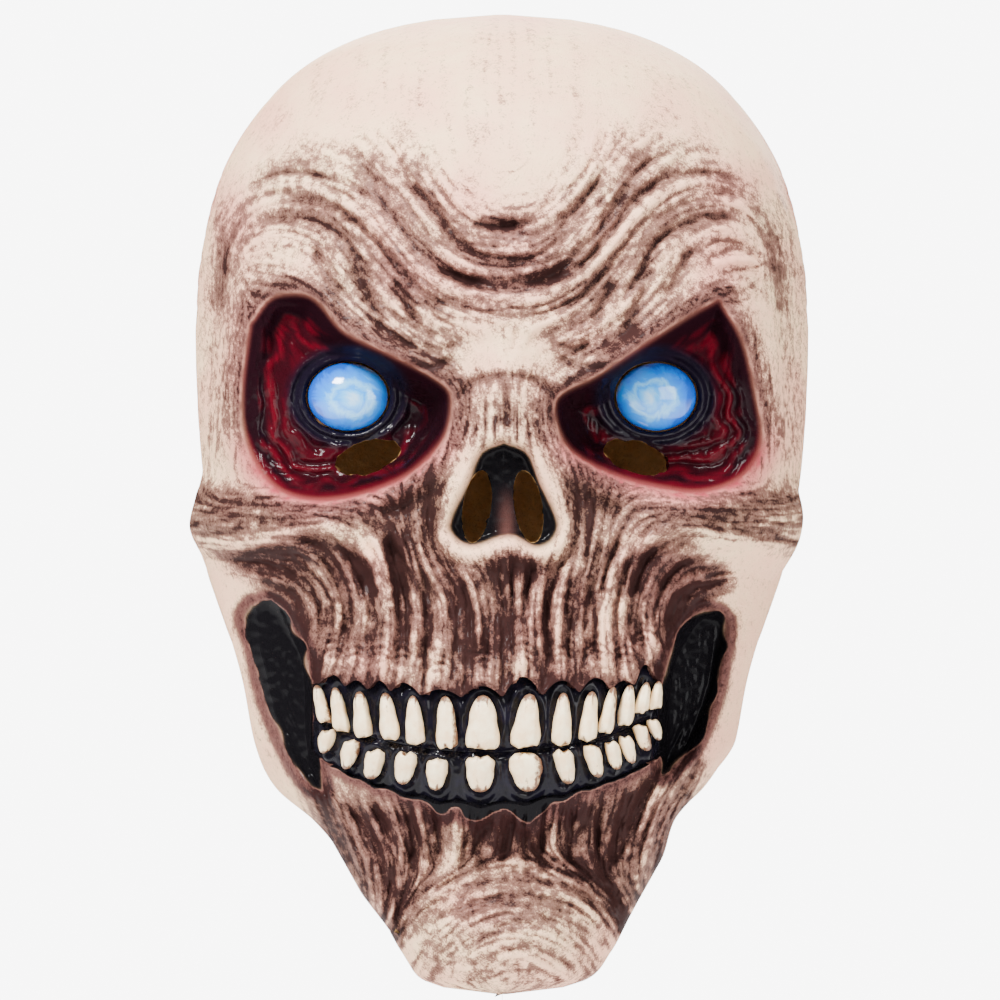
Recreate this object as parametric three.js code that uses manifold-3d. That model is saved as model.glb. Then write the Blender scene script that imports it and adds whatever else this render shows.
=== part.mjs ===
// Over-the-head latex skull mask, worn by pulling it on through the open neck.
// Millimetres. +Z is up and the face looks along -Y. The origin is where the wearer's crown touches
// the inside of the skin, so the mask hangs below it.
//
// A latex skin cast in two halves (face and back) is joined by a tape on the inside. The eyes are
// domes set through the skin from behind and held by patches. The teeth stand on two gum strips,
// which close the mouth from behind.
import * as THREE from "three";
import { mergeVertices } from "three/addons/utils/BufferGeometryUtils.js";
import Module from "manifold-3d";

const wasm = await Module();
wasm.setup();

// ---- driving dimensions ----
const SKIN = 2.5; // thickness of the latex skin
const HEIGHT = 300; // crown to chin
const CROWN_Z = SKIN; // outer face of the crown
const GAP = 0.3; // clearance between pieces that are bonded together

// Horizontal sections of the head: drop below the crown, half width, y of the front, y of the back,
// y of the widest line, and squareness of the front half.
const SECTIONS = [
  [0, 0, 0, 0, 0, 2.0],
  [5, 37.5, -41, 42, 0, 2.0],
  [15, 59.3, -64, 63, 0, 2.05],
  [28, 73.5, -80, 80, 1, 2.1],
  [46, 85, -94, 95, 2, 2.2],
  [70, 92, -104, 106, 2, 2.35],
  [95, 94.2, -108, 111, 0, 2.5],
  [120, 93.6, -106, 110, -4, 2.55],
  [145, 91.5, -106, 103, -9, 2.5],
  [165, 88, -107, 96, -14, 2.4],
  [185, 83, -109, 90, -20, 2.3],
  [205, 77, -111.5, 84, -26, 2.25],
  [225, 71.5, -113, 79, -36, 2.2],
  [238, 65.5, -112, 74, -44, 2.15],
  [248, 56, -110, 68, -52, 2.1],
  [260, 48.5, -110.5, 56, -60, 2.1],
  [275, 40, -113, 31, -68, 2.1],
  [287, 33.5, -111, -4, -76, 2.05],
  [296, 25, -106, -44, -84, 2.0],
  [300, 0, -90, -90, -90, 2.0],
];
const BACK_SQUARENESS = 2.05;
const [FACE_START, FACE_FULL] = [14, 44]; // how far forward of the crown the face begins and is full
const [FRONT_OF_FACE, FACE_DEPTH] = [-135, 80]; // y range that holds everything cut into the face

// Forms on the face, in front view. A footprint is an ellipse at [x, z], turned by tilt degrees
// anticlockwise, flat over its core share. A rise stands out towards the viewer. A level sinks the
// surface to y, with a slope in y per mm of x. A pair is repeated on the other side of x = 0.
const FORMS = [
  { at: [47, -103], size: [44, 12], tilt: 19, core: 0.2, rise: 7, pair: true }, // brow ridge
  { at: [85, -118], size: [9, 30], tilt: -4, core: 0.2, rise: 3, pair: true }, // outer rim of the socket
  { at: [0, -112], size: [17, 17], tilt: 0, core: 0.1, rise: 3 }, // glabella
  { at: [1, -136], size: [15, 36], tilt: 0, core: 0.1, rise: 8 }, // bridge of the nose
  { at: [1, -150], size: [24, 26], tilt: 0, core: 0.5, rise: 4 }, // rim of the nose
  { at: [64, -154], size: [38, 15], tilt: 4, core: 0.2, rise: 7, pair: true }, // cheekbone
  { at: [60, -180], size: [30, 20], tilt: 20, core: 0.1, rise: -7, pair: true }, // under the cheekbone
  { at: [0, -216], size: [56, 44], tilt: 0, core: 0.3, rise: 4 }, // dental arch
  { at: [0, -282], size: [32, 20], tilt: 0, core: 0.2, rise: 5 }, // chin
  { at: [0, -256], size: [34, 14], tilt: 0, core: 0.2, rise: -3 }, // above the chin
  { at: [48, -119], size: [32, 27], tilt: 8, core: 0.6, level: -80, slope: 0.22, pair: true }, // socket
  { at: [0.5, -149], size: [19, 22], tilt: 0, core: 0.64, level: -104, slope: 0 }, // nasal cavity
  { at: [-69, -205], size: [10, 29], tilt: 22, core: 0.35, level: -64, slope: -0.6 }, // right cheek hollow
  { at: [61, -200], size: [10, 28], tilt: -18, core: 0.35, level: -68, slope: 0.6 }, // left cheek hollow
];
// Forms on the side of the head: footprint at [y, z], pushed outwards along x. One with a side is
// only there: the cast isn't even, and its right cheek and jaw (side -1) are fuller than its left.
const SIDE_FORMS = [
  { at: [-46, -156], size: [40, 17], core: 0.2, push: 4 }, // end of the cheekbone
  { at: [-42, -98], size: [26, 46], core: 0.2, push: -3.5 }, // temple
  { at: [-24, -200], size: [30, 40], core: 0.1, push: -3 }, // hollow behind the jaw
  { at: [-36, -150], size: [44, 15], core: 0.3, push: 2.6, side: -1 }, // right cheekbone
  { at: [-22, -200], size: [44, 62], tilt: -22, core: 0.5, push: 4.4, side: -1 }, // right side of the jaw
  { at: [-72, -284], size: [38, 18], core: 0.3, push: -2.6, side: -1 }, // right side of the chin
  { at: [-42, -240], size: [44, 20], core: 0.1, push: -5.5, side: 1 }, // left corner of the jaw
];

// Neck opening: the skin is trimmed along one plane, from under the chin to the nape.
const RIM_FRONT = new THREE.Vector3(0, -64, -288);
const RIM_NAPE = new THREE.Vector3(0, 78, -228);
const SEAM_Y = 10; // where the face half meets the back half
const TAPE = { width: 22, thickness: 1.2 };

const EYE = { x: 47, z: -115.5, radius: [12.4, 10.4], rise: 7.5, rim: 1.4 };
const PATCH = { margin: 2.5, thickness: 1.4 };
const SLIT = { x: 41, z: -134, size: [10.2, 5], tilt: -17 }; // see-through slit under each eye
const NOSTRIL = { x: 7.8, lean: 9, z: -149, size: [4.3, 11.2] };
const SEPTUM_X = 0.2;

// Mouth: three lines, each rising to the corners as lift times the square of the distance from x.
const MOUTH = {
  x: -5, // the smile is off centre
  reach: 53.5,
  top: { z: -204, lift: 0.0022 },
  bite: { z: -223.8, lift: 0.0038 },
  bottom: { z: -239, lift: 0.0052 },
};
const GUM = { thickness: 3, overlap: 4 };

// Teeth from the wearer's right to left: x, z of the biting edge, width and height.
const UPPER_TEETH = [
  [-55, -215, 3.4, 11.5], [-49.6, -217.6, 5.2, 13.5], [-42.6, -219.2, 5.8, 14], [-34.5, -219.8, 6.4, 14.3],
  [-26.6, -221, 6.7, 14.7], [-16.9, -222.4, 7.2, 16], [-5.8, -222.6, 11, 16.5], [7.6, -222.2, 9.4, 16.5],
  [18.3, -221.4, 6.6, 16], [26.6, -220, 6, 15], [32.5, -217.8, 4.6, 14.2], [38, -215.4, 5, 12.5],
  [43, -211.8, 4, 9.5], [47, -210.6, 3, 8.5],
];
const LOWER_TEETH = [
  [-53.4, -217.2, 4.6, 7.2], [-46.3, -220.3, 5.2, 9], [-38.9, -223.4, 6, 9], [-29.4, -224, 7.2, 10],
  [-19.8, -226.2, 7, 9.6], [-6.6, -225.1, 8.8, 11], [7.4, -224.4, 10, 11.5], [19.2, -223.2, 6.4, 10.5],
  [28, -221.7, 5, 10], [34, -220.7, 3.8, 8.6], [38.4, -219, 3.2, 8.4], [42.8, -215.4, 3.4, 8],
  [46.6, -213.7, 2.2, 6.5],
];
const TOOTH = { depth: 5, taper: 0.28, squareness: 0.8 };

const COLOURS = {
  skin: [0xcdb09c, 0.55],
  tape: [0x8a6a45, 0.7],
  eye: [0x49b4ee, 0.3],
  patch: [0x5a3c20, 0.8],
  gum: [0x0c0a10, 0.25],
  tooth: [0xe9e0c8, 0.4],
};

// ---- curves and forms ----
const smooth = THREE.MathUtils.smoothstep;
const along = (drop) => Math.acos(1 - (2 * drop) / HEIGHT) / Math.PI;

// A smooth curve through one column of SECTIONS, read at a drop below the crown.
function sectionCurve(column) {
  const t = SECTIONS.map((row) => along(row[0]));
  const v = SECTIONS.map((row) => row[column]);
  const slope = v.map((_, i) => {
    const a = Math.max(i - 1, 0);
    const b = Math.min(i + 1, v.length - 1);
    return (v[b] - v[a]) / (t[b] - t[a]);
  });
  return (drop) => {
    const at = along(drop);
    let i = 0;
    while (i < t.length - 2 && at > t[i + 1]) i++;
    const h = t[i + 1] - t[i];
    const s = (at - t[i]) / h;
    const [s2, s3] = [s * s, s * s * s];
    return (
      (2 * s3 - 3 * s2 + 1) * v[i] + (s3 - 2 * s2 + s) * h * slope[i] +
      (3 * s2 - 2 * s3) * v[i + 1] + (s3 - s2) * h * slope[i + 1]
    );
  };
}
const [halfWidth, frontY, backY, widestY, squareness] = [1, 2, 3, 4, 5].map(sectionCurve);

// The plain head, before the face is worked into it. turn is 0 at the front and grows towards +X.
function headPoint(turn, drop) {
  const [across, forward] = [Math.sin(turn), Math.cos(turn)];
  const centre = widestY(drop);
  const depth = forward > 0 ? centre - frontY(drop) : backY(drop) - centre;
  const n = forward > 0 ? squareness(drop) : BACK_SQUARENESS;
  const width = Math.max(halfWidth(drop), 1e-6);
  const radius = (Math.abs(across / width) ** n + Math.abs(forward / Math.max(depth, 1e-6)) ** n) ** (-1 / n);
  return new THREE.Vector3(radius * across, centre - radius * forward, CROWN_Z - drop);
}

// How much of a form is present at a point of its footprint: 1 over the core, 0 outside.
function share(form, u, v) {
  const tilt = THREE.MathUtils.degToRad(form.tilt ?? 0);
  const [du, dv] = [u - form.at[0], v - form.at[1]];
  const a = (du * Math.cos(tilt) + dv * Math.sin(tilt)) / form.size[0];
  const b = (dv * Math.cos(tilt) - du * Math.sin(tilt)) / form.size[1];
  return 1 - smooth(Math.hypot(a, b), form.core, 1);
}

// The outer face of the skin: the plain head with every form worked into it.
function outerPoint(turn, drop) {
  const plain = headPoint(turn, drop);
  const onFace = smooth(-plain.y, FACE_START, FACE_FULL);
  const point = plain.clone();
  for (const form of FORMS) {
    for (const side of form.pair ? [1, -1] : [1]) {
      const x = side * plain.x;
      const part = share(form, x, plain.z) * onFace;
      if (form.rise) point.y -= form.rise * part;
      else point.y += (form.level + form.slope * (x - form.at[0]) - plain.y) * part;
    }
  }
  const side = Math.sign(plain.x);
  for (const form of SIDE_FORMS) {
    if (form.side && form.side !== side) continue;
    point.x += side * form.push * share(form, plain.y, plain.z);
  }
  return point;
}

function outerNormal(turn, drop) {
  const step = 0.012;
  const round = outerPoint(turn + step, drop).sub(outerPoint(turn - step, drop));
  const down = outerPoint(turn, Math.min(drop + 1, HEIGHT)).sub(outerPoint(turn, Math.max(drop - 1, 0)));
  return down.cross(round).normalize();
}

// A point of the skin, depth mm below its outer face.
function skinPoint(turn, drop, depth) {
  const onPole = drop === 0 || drop === HEIGHT;
  const normal = onPole ? new THREE.Vector3(0, 0, drop ? -1 : 1) : outerNormal(turn, drop);
  return outerPoint(turn, drop).addScaledVector(normal, -depth);
}

// The turn at which the plain head has this x, on its front.
function turnAt(x, drop) {
  let [low, high] = [-Math.PI / 2, Math.PI / 2];
  for (let i = 0; i < 30; i++) {
    const middle = (low + high) / 2;
    if (headPoint(middle, drop).x < x) low = middle;
    else high = middle;
  }
  return (low + high) / 2;
}
const facePoint = (x, z, depth) => skinPoint(turnAt(x, CROWN_Z - z), CROWN_Z - z, depth);

// ---- solids ----
function solidFrom(positions, triangles) {
  return new wasm.Manifold(
    new wasm.Mesh({ numProp: 3, vertProperties: new Float32Array(positions), triVerts: new Uint32Array(triangles) }),
  );
}

function solidOf(geometry, matrix = new THREE.Matrix4()) {
  const bare = geometry.clone().applyMatrix4(matrix);
  bare.deleteAttribute("normal");
  bare.deleteAttribute("uv");
  const merged = mergeVertices(bare, 1e-4);
  return solidFrom(merged.attributes.position.array, merged.index.array);
}

function geometryOf(solid) {
  const { vertProperties, triVerts } = solid.getMesh();
  const geometry = new THREE.BufferGeometry();
  geometry.setAttribute("position", new THREE.BufferAttribute(vertProperties, 3));
  geometry.setIndex(new THREE.BufferAttribute(triVerts, 1));
  geometry.computeVertexNormals();
  return geometry;
}

// Drops of the rows of the skin: close together at the poles and over the face.
function skinRows() {
  const rows = [0.6, 2.4, 5.4];
  for (let drop = 11; drop < 90; drop += 11) rows.push(drop);
  for (let drop = 96; drop < 262; drop += 6.6) rows.push(drop);
  for (let drop = 264; drop < 292; drop += 9) rows.push(drop);
  return [...rows, HEIGHT - 4.5, HEIGHT - 1];
}
// Turns of the columns: close together round the front, wide apart round the back.
function skinColumns() {
  const [front, back] = [34, 10];
  const turns = [];
  for (let i = 0; i < front; i++) turns.push(((i / front) * 2 - 1) * 1.72);
  for (let i = 0; i < back; i++) turns.push(1.72 + (i / back) * (2 * Math.PI - 3.44));
  return turns;
}

// The whole head, closed, with its surface depth mm below the outer face.
function headSolid(depth) {
  const [rows, columns] = [skinRows(), skinColumns()];
  const points = [skinPoint(0, 0, depth)];
  for (const drop of rows) for (const turn of columns) points.push(skinPoint(turn, drop, depth));
  points.push(skinPoint(0, HEIGHT, depth));
  const n = columns.length;
  const last = points.length - 1;
  const at = (row, column) => 1 + row * n + (column % n);
  const triangles = [];
  for (let c = 0; c < n; c++) {
    triangles.push(0, at(0, c), at(0, c + 1));
    triangles.push(last, at(rows.length - 1, c + 1), at(rows.length - 1, c));
    for (let r = 0; r < rows.length - 1; r++) {
      triangles.push(at(r, c), at(r + 1, c), at(r + 1, c + 1));
      triangles.push(at(r, c), at(r + 1, c + 1), at(r, c + 1));
    }
  }
  return solidFrom(points.flatMap((p) => p.toArray()), triangles);
}

// A curved slab between two faces, each a function of u and v from 0 to 1.
function slab(across, up, front, back) {
  const points = [];
  for (const face of [front, back]) {
    for (let j = 0; j <= up; j++) for (let i = 0; i <= across; i++) points.push(...face(i / across, j / up).toArray());
  }
  const half = (across + 1) * (up + 1);
  const at = (i, j) => j * (across + 1) + i;
  const triangles = [];
  const quad = (a, b, c, d) => triangles.push(a, b, c, a, c, d);
  for (let j = 0; j < up; j++) {
    for (let i = 0; i < across; i++) {
      quad(at(i, j), at(i + 1, j), at(i + 1, j + 1), at(i, j + 1));
      quad(half + at(i, j), half + at(i, j + 1), half + at(i + 1, j + 1), half + at(i + 1, j));
    }
    quad(at(0, j), at(0, j + 1), half + at(0, j + 1), half + at(0, j));
    quad(at(across, j), half + at(across, j), half + at(across, j + 1), at(across, j + 1));
  }
  for (let i = 0; i < across; i++) {
    quad(at(i, 0), half + at(i, 0), half + at(i + 1, 0), at(i + 1, 0));
    quad(at(i, up), at(i + 1, up), half + at(i + 1, up), half + at(i, up));
  }
  return solidFrom(points, triangles);
}

// An oval bar along y, for cutting through the face at x, z.
function ovalBar(x, z, size, tilt, sides = 18) {
  const bar = new THREE.CylinderGeometry(1, 1, FACE_DEPTH, sides);
  const matrix = new THREE.Matrix4()
    .makeTranslation(x, FRONT_OF_FACE + FACE_DEPTH / 2, z)
    .multiply(new THREE.Matrix4().makeRotationY(-THREE.MathUtils.degToRad(tilt)))
    .multiply(new THREE.Matrix4().makeScale(size[0], 1, size[1]));
  return solidOf(bar, matrix);
}

// A bar along y with the mouth's outline between two of its lines, moved apart by spread.
const lineZ = (line, x) => line.z + line.lift * (x - MOUTH.x) ** 2;

function mouthBar(low, high, reach, spread) {
  const face = (y) => (u, v) => {
    const x = MOUTH.x + (u * 2 - 1) * reach;
    const [bottom, top] = [lineZ(low, x) - spread[0], lineZ(high, x) + spread[1]];
    return new THREE.Vector3(x, y, THREE.MathUtils.lerp(bottom, top, v));
  };
  return slab(20, 1, face(FRONT_OF_FACE), face(FRONT_OF_FACE + FACE_DEPTH));
}

// Everything below the trimmed edge of the neck.
function belowRim() {
  const down = new THREE.Vector3().subVectors(RIM_NAPE, RIM_FRONT);
  const normal = new THREE.Vector3(0, -down.z, down.y).normalize();
  const box = new THREE.BoxGeometry(400, 400, 200);
  const matrix = new THREE.Matrix4().lookAt(new THREE.Vector3(), normal, new THREE.Vector3(1, 0, 0));
  matrix.setPosition(RIM_FRONT.clone().addScaledVector(normal, -100));
  return solidOf(box, matrix);
}

function makeSkin() {
  const window = mouthBar(MOUTH.bottom, MOUTH.top, MOUTH.reach, [0, 0]);
  let skin = headSolid(0).subtract(headSolid(SKIN)).subtract(belowRim()).subtract(window);
  for (const side of [1, -1]) {
    skin = skin
      .subtract(ovalBar(side * EYE.x, EYE.z, EYE.radius.map((r) => r + GAP), 0, 24))
      .subtract(ovalBar(side * SLIT.x, SLIT.z, SLIT.size, side * SLIT.tilt))
      .subtract(ovalBar(SEPTUM_X + side * NOSTRIL.x, NOSTRIL.z, NOSTRIL.size, side * NOSTRIL.lean));
  }
  return skin;
}

// The part of the skin on one side of the seam: -1 is the face, 1 the back.
function skinHalf(skin, side) {
  const box = new THREE.BoxGeometry(400, 400, 800);
  const at = new THREE.Matrix4().makeTranslation(0, SEAM_Y + side * (200 + GAP / 2), 0);
  return skin.intersect(solidOf(box, at));
}

// A piece bonded to the inside of the skin: what a cutter takes out of a layer of that thickness.
function makeLining(thickness, cutter) {
  const layer = headSolid(SKIN + GAP).subtract(headSolid(SKIN + GAP + thickness));
  return layer.intersect(cutter);
}

// The tape lies across the seam, from one side of the neck over the crown to the other.
function makeSeamTape() {
  const slice = solidOf(new THREE.BoxGeometry(400, TAPE.width, 800));
  return makeLining(TAPE.thickness, slice.translate(0, SEAM_Y, 0)).subtract(belowRim());
}

// y of the outer skin on the floor of the socket, at the eye.
const socketY = (side) => facePoint(side * EYE.x, EYE.z, 0).y;

function eyeFrame(side) {
  const socket = FORMS.find((form) => form.pair && form.level);
  const turn = side * Math.atan(socket.slope);
  return new THREE.Matrix4().makeTranslation(side * EYE.x, socketY(side), EYE.z)
    .multiply(new THREE.Matrix4().makeRotationZ(turn))
    .multiply(new THREE.Matrix4().makeRotationX(Math.PI));
}

// A plano-convex dome that stands out through the skin.
function makeEye(side) {
  const outline = [new THREE.Vector2(0, -SKIN - EYE.rim)];
  outline.push(new THREE.Vector2(0.94, -SKIN - EYE.rim), new THREE.Vector2(0.94, 0));
  for (let i = 1; i <= 6; i++) {
    const lift = (i / 6) * (Math.PI / 2);
    outline.push(new THREE.Vector2(0.94 * Math.cos(lift), EYE.rise * Math.sin(lift)));
  }
  outline[outline.length - 1].x = 0;
  const dome = new THREE.LatheGeometry(outline, 20);
  return solidOf(dome, eyeFrame(side).scale(new THREE.Vector3(EYE.radius[0], 1, EYE.radius[1])));
}

// A patch that covers the back of the dome, bonded to the inside of the skin around it.
function makePatch(side) {
  const disc = new THREE.CylinderGeometry(1, 1, PATCH.thickness, 20);
  const [rx, rz] = EYE.radius.map((r) => r + PATCH.margin);
  const back = SKIN + EYE.rim + GAP + PATCH.thickness / 2;
  const matrix = eyeFrame(side)
    .multiply(new THREE.Matrix4().makeTranslation(0, -back, 0))
    .scale(new THREE.Vector3(rx, 1, rz));
  return solidOf(disc, matrix);
}

// A tooth: a rounded peg standing on the gum, narrower towards its root, which points up or down.
function makeTooth([x, edge, width, height], rootwards) {
  const z = edge + (rootwards * height) / 2;
  const depth = SKIN + GAP;
  const seat = facePoint(x, z, depth);
  const along = facePoint(x + 1, z, depth).sub(facePoint(x - 1, z, depth));
  const peg = new THREE.SphereGeometry(1, 8, 6).rotateX(Math.PI / 2);
  const place = peg.attributes.position;
  const bulge = (value, power) => Math.sign(value) * Math.abs(value) ** power;
  for (let i = 0; i < place.count; i++) {
    const p = new THREE.Vector3().fromBufferAttribute(place, i);
    const root = 1 - TOOTH.taper * (0.5 + 0.5 * p.z * rootwards);
    place.setXYZ(
      i,
      (bulge(p.x, TOOTH.squareness) * root * width) / 2,
      (bulge(p.y, TOOTH.squareness) * TOOTH.depth) / 2,
      (bulge(p.z, TOOTH.squareness) * height) / 2,
    );
  }
  const matrix = new THREE.Matrix4().makeTranslation(seat.x, seat.y, seat.z)
    .multiply(new THREE.Matrix4().makeRotationZ(Math.atan2(along.y, along.x)))
    .multiply(new THREE.Matrix4().makeTranslation(0, -TOOTH.depth / 2 - GAP, 0));
  return solidOf(peg, matrix);
}

// ---- assembly ----
const mask = new THREE.Group();

function add(name, solid, [colour, roughness]) {
  const material = new THREE.MeshStandardMaterial({ color: colour, roughness, metalness: 0 });
  const mesh = new THREE.Mesh(geometryOf(solid), material);
  mesh.name = name;
  mask.add(mesh);
}

const skin = makeSkin();
add("face_skin", skinHalf(skin, -1), COLOURS.skin);
add("back_skin", skinHalf(skin, 1), COLOURS.skin);
add("seam_tape", makeSeamTape(), COLOURS.tape);
for (const [side, name] of [[-1, "right"], [1, "left"]]) {
  add(`eye_dome_${name}`, makeEye(side), COLOURS.eye);
  add(`eye_patch_${name}`, makePatch(side), COLOURS.patch);
}
const gumReach = MOUTH.reach + GUM.overlap;
const upperGum = mouthBar(MOUTH.bite, MOUTH.top, gumReach, [-GAP / 2, GUM.overlap]);
const lowerGum = mouthBar(MOUTH.bottom, MOUTH.bite, gumReach, [GUM.overlap, -GAP / 2]);
add("upper_gum", makeLining(GUM.thickness, upperGum), COLOURS.gum);
add("lower_gum", makeLining(GUM.thickness, lowerGum), COLOURS.gum);
UPPER_TEETH.forEach((tooth, i) => {
  add(`upper_tooth_${i + 1}`, makeTooth(tooth, 1), COLOURS.tooth);
});
LOWER_TEETH.forEach((tooth, i) => {
  add(`lower_tooth_${i + 1}`, makeTooth(tooth, -1), COLOURS.tooth);
});

export default mask;
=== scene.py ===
import math

import bmesh
import bpy
import numpy as np
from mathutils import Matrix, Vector


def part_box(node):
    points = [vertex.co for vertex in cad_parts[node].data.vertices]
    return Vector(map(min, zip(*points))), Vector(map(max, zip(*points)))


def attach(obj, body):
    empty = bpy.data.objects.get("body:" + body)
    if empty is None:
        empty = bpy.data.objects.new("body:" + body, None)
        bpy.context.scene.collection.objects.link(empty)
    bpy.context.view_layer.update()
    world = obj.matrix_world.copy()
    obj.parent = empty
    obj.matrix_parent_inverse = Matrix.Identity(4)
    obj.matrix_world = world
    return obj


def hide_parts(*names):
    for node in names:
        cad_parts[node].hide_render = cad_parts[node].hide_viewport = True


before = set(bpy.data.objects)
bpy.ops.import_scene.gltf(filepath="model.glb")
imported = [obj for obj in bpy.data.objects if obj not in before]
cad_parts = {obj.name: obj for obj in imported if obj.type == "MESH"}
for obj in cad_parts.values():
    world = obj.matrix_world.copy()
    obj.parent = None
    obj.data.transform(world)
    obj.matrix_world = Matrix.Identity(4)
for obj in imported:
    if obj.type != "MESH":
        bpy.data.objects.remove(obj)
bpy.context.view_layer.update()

# The mask is sculpted here in millimetres and turned into metres as each mesh is made. The face is a
# relief over the plain head: x runs across it, z up it, and height stands out towards -Y. Folds,
# wrinkles and paint are drawn as fields over x and z, and the mesh of the skin reads them.

MM = 0.001
SKIN = 2.5                 # thickness of the latex
GAP = 0.3
CROWN_Z = SKIN
HEIGHT = 300
SEAM_Y = 10
RIM_FRONT = (-64, -288)    # y, z: the neck is trimmed along the line through these
RIM_NAPE = (78, -228)
rng = np.random.default_rng(11)


# ---- the plain head

# Drop below the crown, half width, y of the front, of the back and of the widest line, squareness.
SECTIONS = np.array([
    [0, 0, 0, 0, 0, 2.0],
    [5, 37.5, -41, 42, 0, 2.0],
    [15, 59.3, -64, 63, 0, 2.05],
    [28, 73.5, -80, 80, 1, 2.1],
    [46, 85, -94, 95, 2, 2.2],
    [70, 92, -104, 106, 2, 2.35],
    [95, 94.2, -108, 111, 0, 2.5],
    [120, 93.6, -106, 110, -4, 2.55],
    [145, 91.5, -106, 103, -9, 2.5],
    [165, 88, -107, 96, -14, 2.4],
    [185, 83, -109, 90, -20, 2.3],
    [205, 77, -111.5, 84, -26, 2.25],
    [225, 71.5, -113, 79, -36, 2.2],
    [238, 65.5, -112, 74, -44, 2.15],
    [248, 56, -110, 68, -52, 2.1],
    [260, 48.5, -110.5, 56, -60, 2.1],
    [275, 40, -113, 31, -68, 2.1],
    [287, 33.5, -111, -4, -76, 2.05],
    [296, 25, -106, -44, -84, 2.0],
    [300, 0, -90, -90, -90, 2.0],
])
BACK_SQUARENESS = 2.05


def smooth(x, low, high):
    t = np.clip((x - low) / (high - low), 0, 1)
    return t * t * (3 - 2 * t)


def bell(x, middle, width):
    """1 where x is at the middle, and falling to nothing about two widths away."""
    return np.exp(-((x - middle) / width) ** 2)


def hermite(t, knots, values):
    """A smooth curve through the knots, read at t."""
    slope = np.gradient(values, knots)
    slope[1:-1] = (values[2:] - values[:-2]) / (knots[2:] - knots[:-2])
    i = np.clip(np.searchsorted(knots, t) - 1, 0, len(knots) - 2)
    h = knots[i + 1] - knots[i]
    s = (t - knots[i]) / h
    return (
        (2 * s**3 - 3 * s**2 + 1) * values[i] + (s**3 - 2 * s**2 + s) * h * slope[i]
        + (3 * s**2 - 2 * s**3) * values[i + 1] + (s**3 - s**2) * h * slope[i + 1]
    )


def along(drop):
    return np.arccos(1 - 2 * np.clip(drop, 0, HEIGHT) / HEIGHT) / math.pi


def section(column, drop):
    return hermite(along(drop), along(SECTIONS[:, 0]), SECTIONS[:, column])


def head_points(turn, drop):
    """Points of the plain head. turn is 0 at the front and grows towards +X."""
    across, forward = np.sin(turn), np.cos(turn)
    centre = section(4, drop)
    depth = np.where(forward > 0, centre - section(2, drop), section(3, drop) - centre)
    n = np.where(forward > 0, section(5, drop), BACK_SQUARENESS)
    width = np.maximum(section(1, drop), 1e-6)
    radius = (np.abs(across / width) ** n + np.abs(forward / np.maximum(depth, 1e-6)) ** n) ** (-1 / n)
    return np.stack([radius * across, centre - radius * forward, CROWN_Z - drop], -1)


# ---- fields over the face

STEP = 0.4
X0, Z0 = -98.0, -300.0
COLUMNS, ROWS = 491, 761
GX, GZ = np.meshgrid(X0 + STEP * np.arange(COLUMNS), Z0 + STEP * np.arange(ROWS))


def read(field, x, z):
    """The field between its samples."""
    u = np.clip((x - X0) / STEP, 0, COLUMNS - 1.001)
    v = np.clip((z - Z0) / STEP, 0, ROWS - 1.001)
    i, j = u.astype(int), v.astype(int)
    a, b = u - i, v - j
    return (
        (field[j, i] * (1 - a) + field[j, i + 1] * a) * (1 - b)
        + (field[j + 1, i] * (1 - a) + field[j + 1, i + 1] * a) * b
    )


def spot(x, z, half_x, half_z):
    """A soft oval spot on the face, 1 at its middle."""
    return np.exp(-((GX - x) / half_x) ** 2 - ((GZ - z) / half_z) ** 2)


def tilted(x, z, at_x, at_z, half_x, half_z, tilt):
    """How far x, z lies from the middle of a tilted oval, as a share of its half size."""
    a = math.radians(tilt)
    u = ((x - at_x) * math.cos(a) + (z - at_z) * math.sin(a)) / half_x
    v = ((z - at_z) * math.cos(a) - (x - at_x) * math.sin(a)) / half_z
    return np.hypot(u, v)


def blur(field, radius):
    """Gaussian blur, radius in mm."""
    fx = np.fft.rfftfreq(COLUMNS + 80, STEP)
    fz = np.fft.fftfreq(ROWS + 80, STEP)
    padded = np.pad(field, 40, mode="edge")
    weight = np.exp(-2 * (math.pi * radius) ** 2 * (fx[None, :] ** 2 + fz[:, None] ** 2))
    return np.fft.irfft2(np.fft.rfft2(padded) * weight, padded.shape)[40:-40, 40:-40]


def noise(size):
    """Random field with features of about this size in mm, mean 0 and deviation 1."""
    raw = rng.standard_normal((ROWS, COLUMNS))
    field = blur(raw, size * 0.22) - blur(raw, size * 0.45)
    return field / field.std()


def spline(points, spacing=1.2):
    """A smooth curve through the points, as points about that far apart, and its share along."""
    p = np.array(points, float)
    knots = np.concatenate([[0], np.cumsum(np.hypot(*np.diff(p, axis=0).T))])
    if len(p) == 2:
        knots, p = np.array([0, knots[1] / 2, knots[1]]), np.array([p[0], p.mean(0), p[1]])
    t = np.linspace(0, knots[-1], max(int(knots[-1] / spacing), 4))
    curve = np.stack([hermite(t, knots, p[:, k]) for k in (0, 1)], -1)
    return curve, t / knots[-1]


def to_segment(x, z, start, end):
    """Squared distance from each point to the nearest point of a segment."""
    (ax, az), (bx, bz) = start, end
    dx, dz = bx - ax, bz - az
    t = np.clip(((x - ax) * dx + (z - az) * dz) / (dx * dx + dz * dz), 0, 1)
    return (x - ax - t * dx) ** 2 + (z - az - t * dz) ** 2


TAPER = 0.18    # share of a stroke's length over which each end thins out


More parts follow.
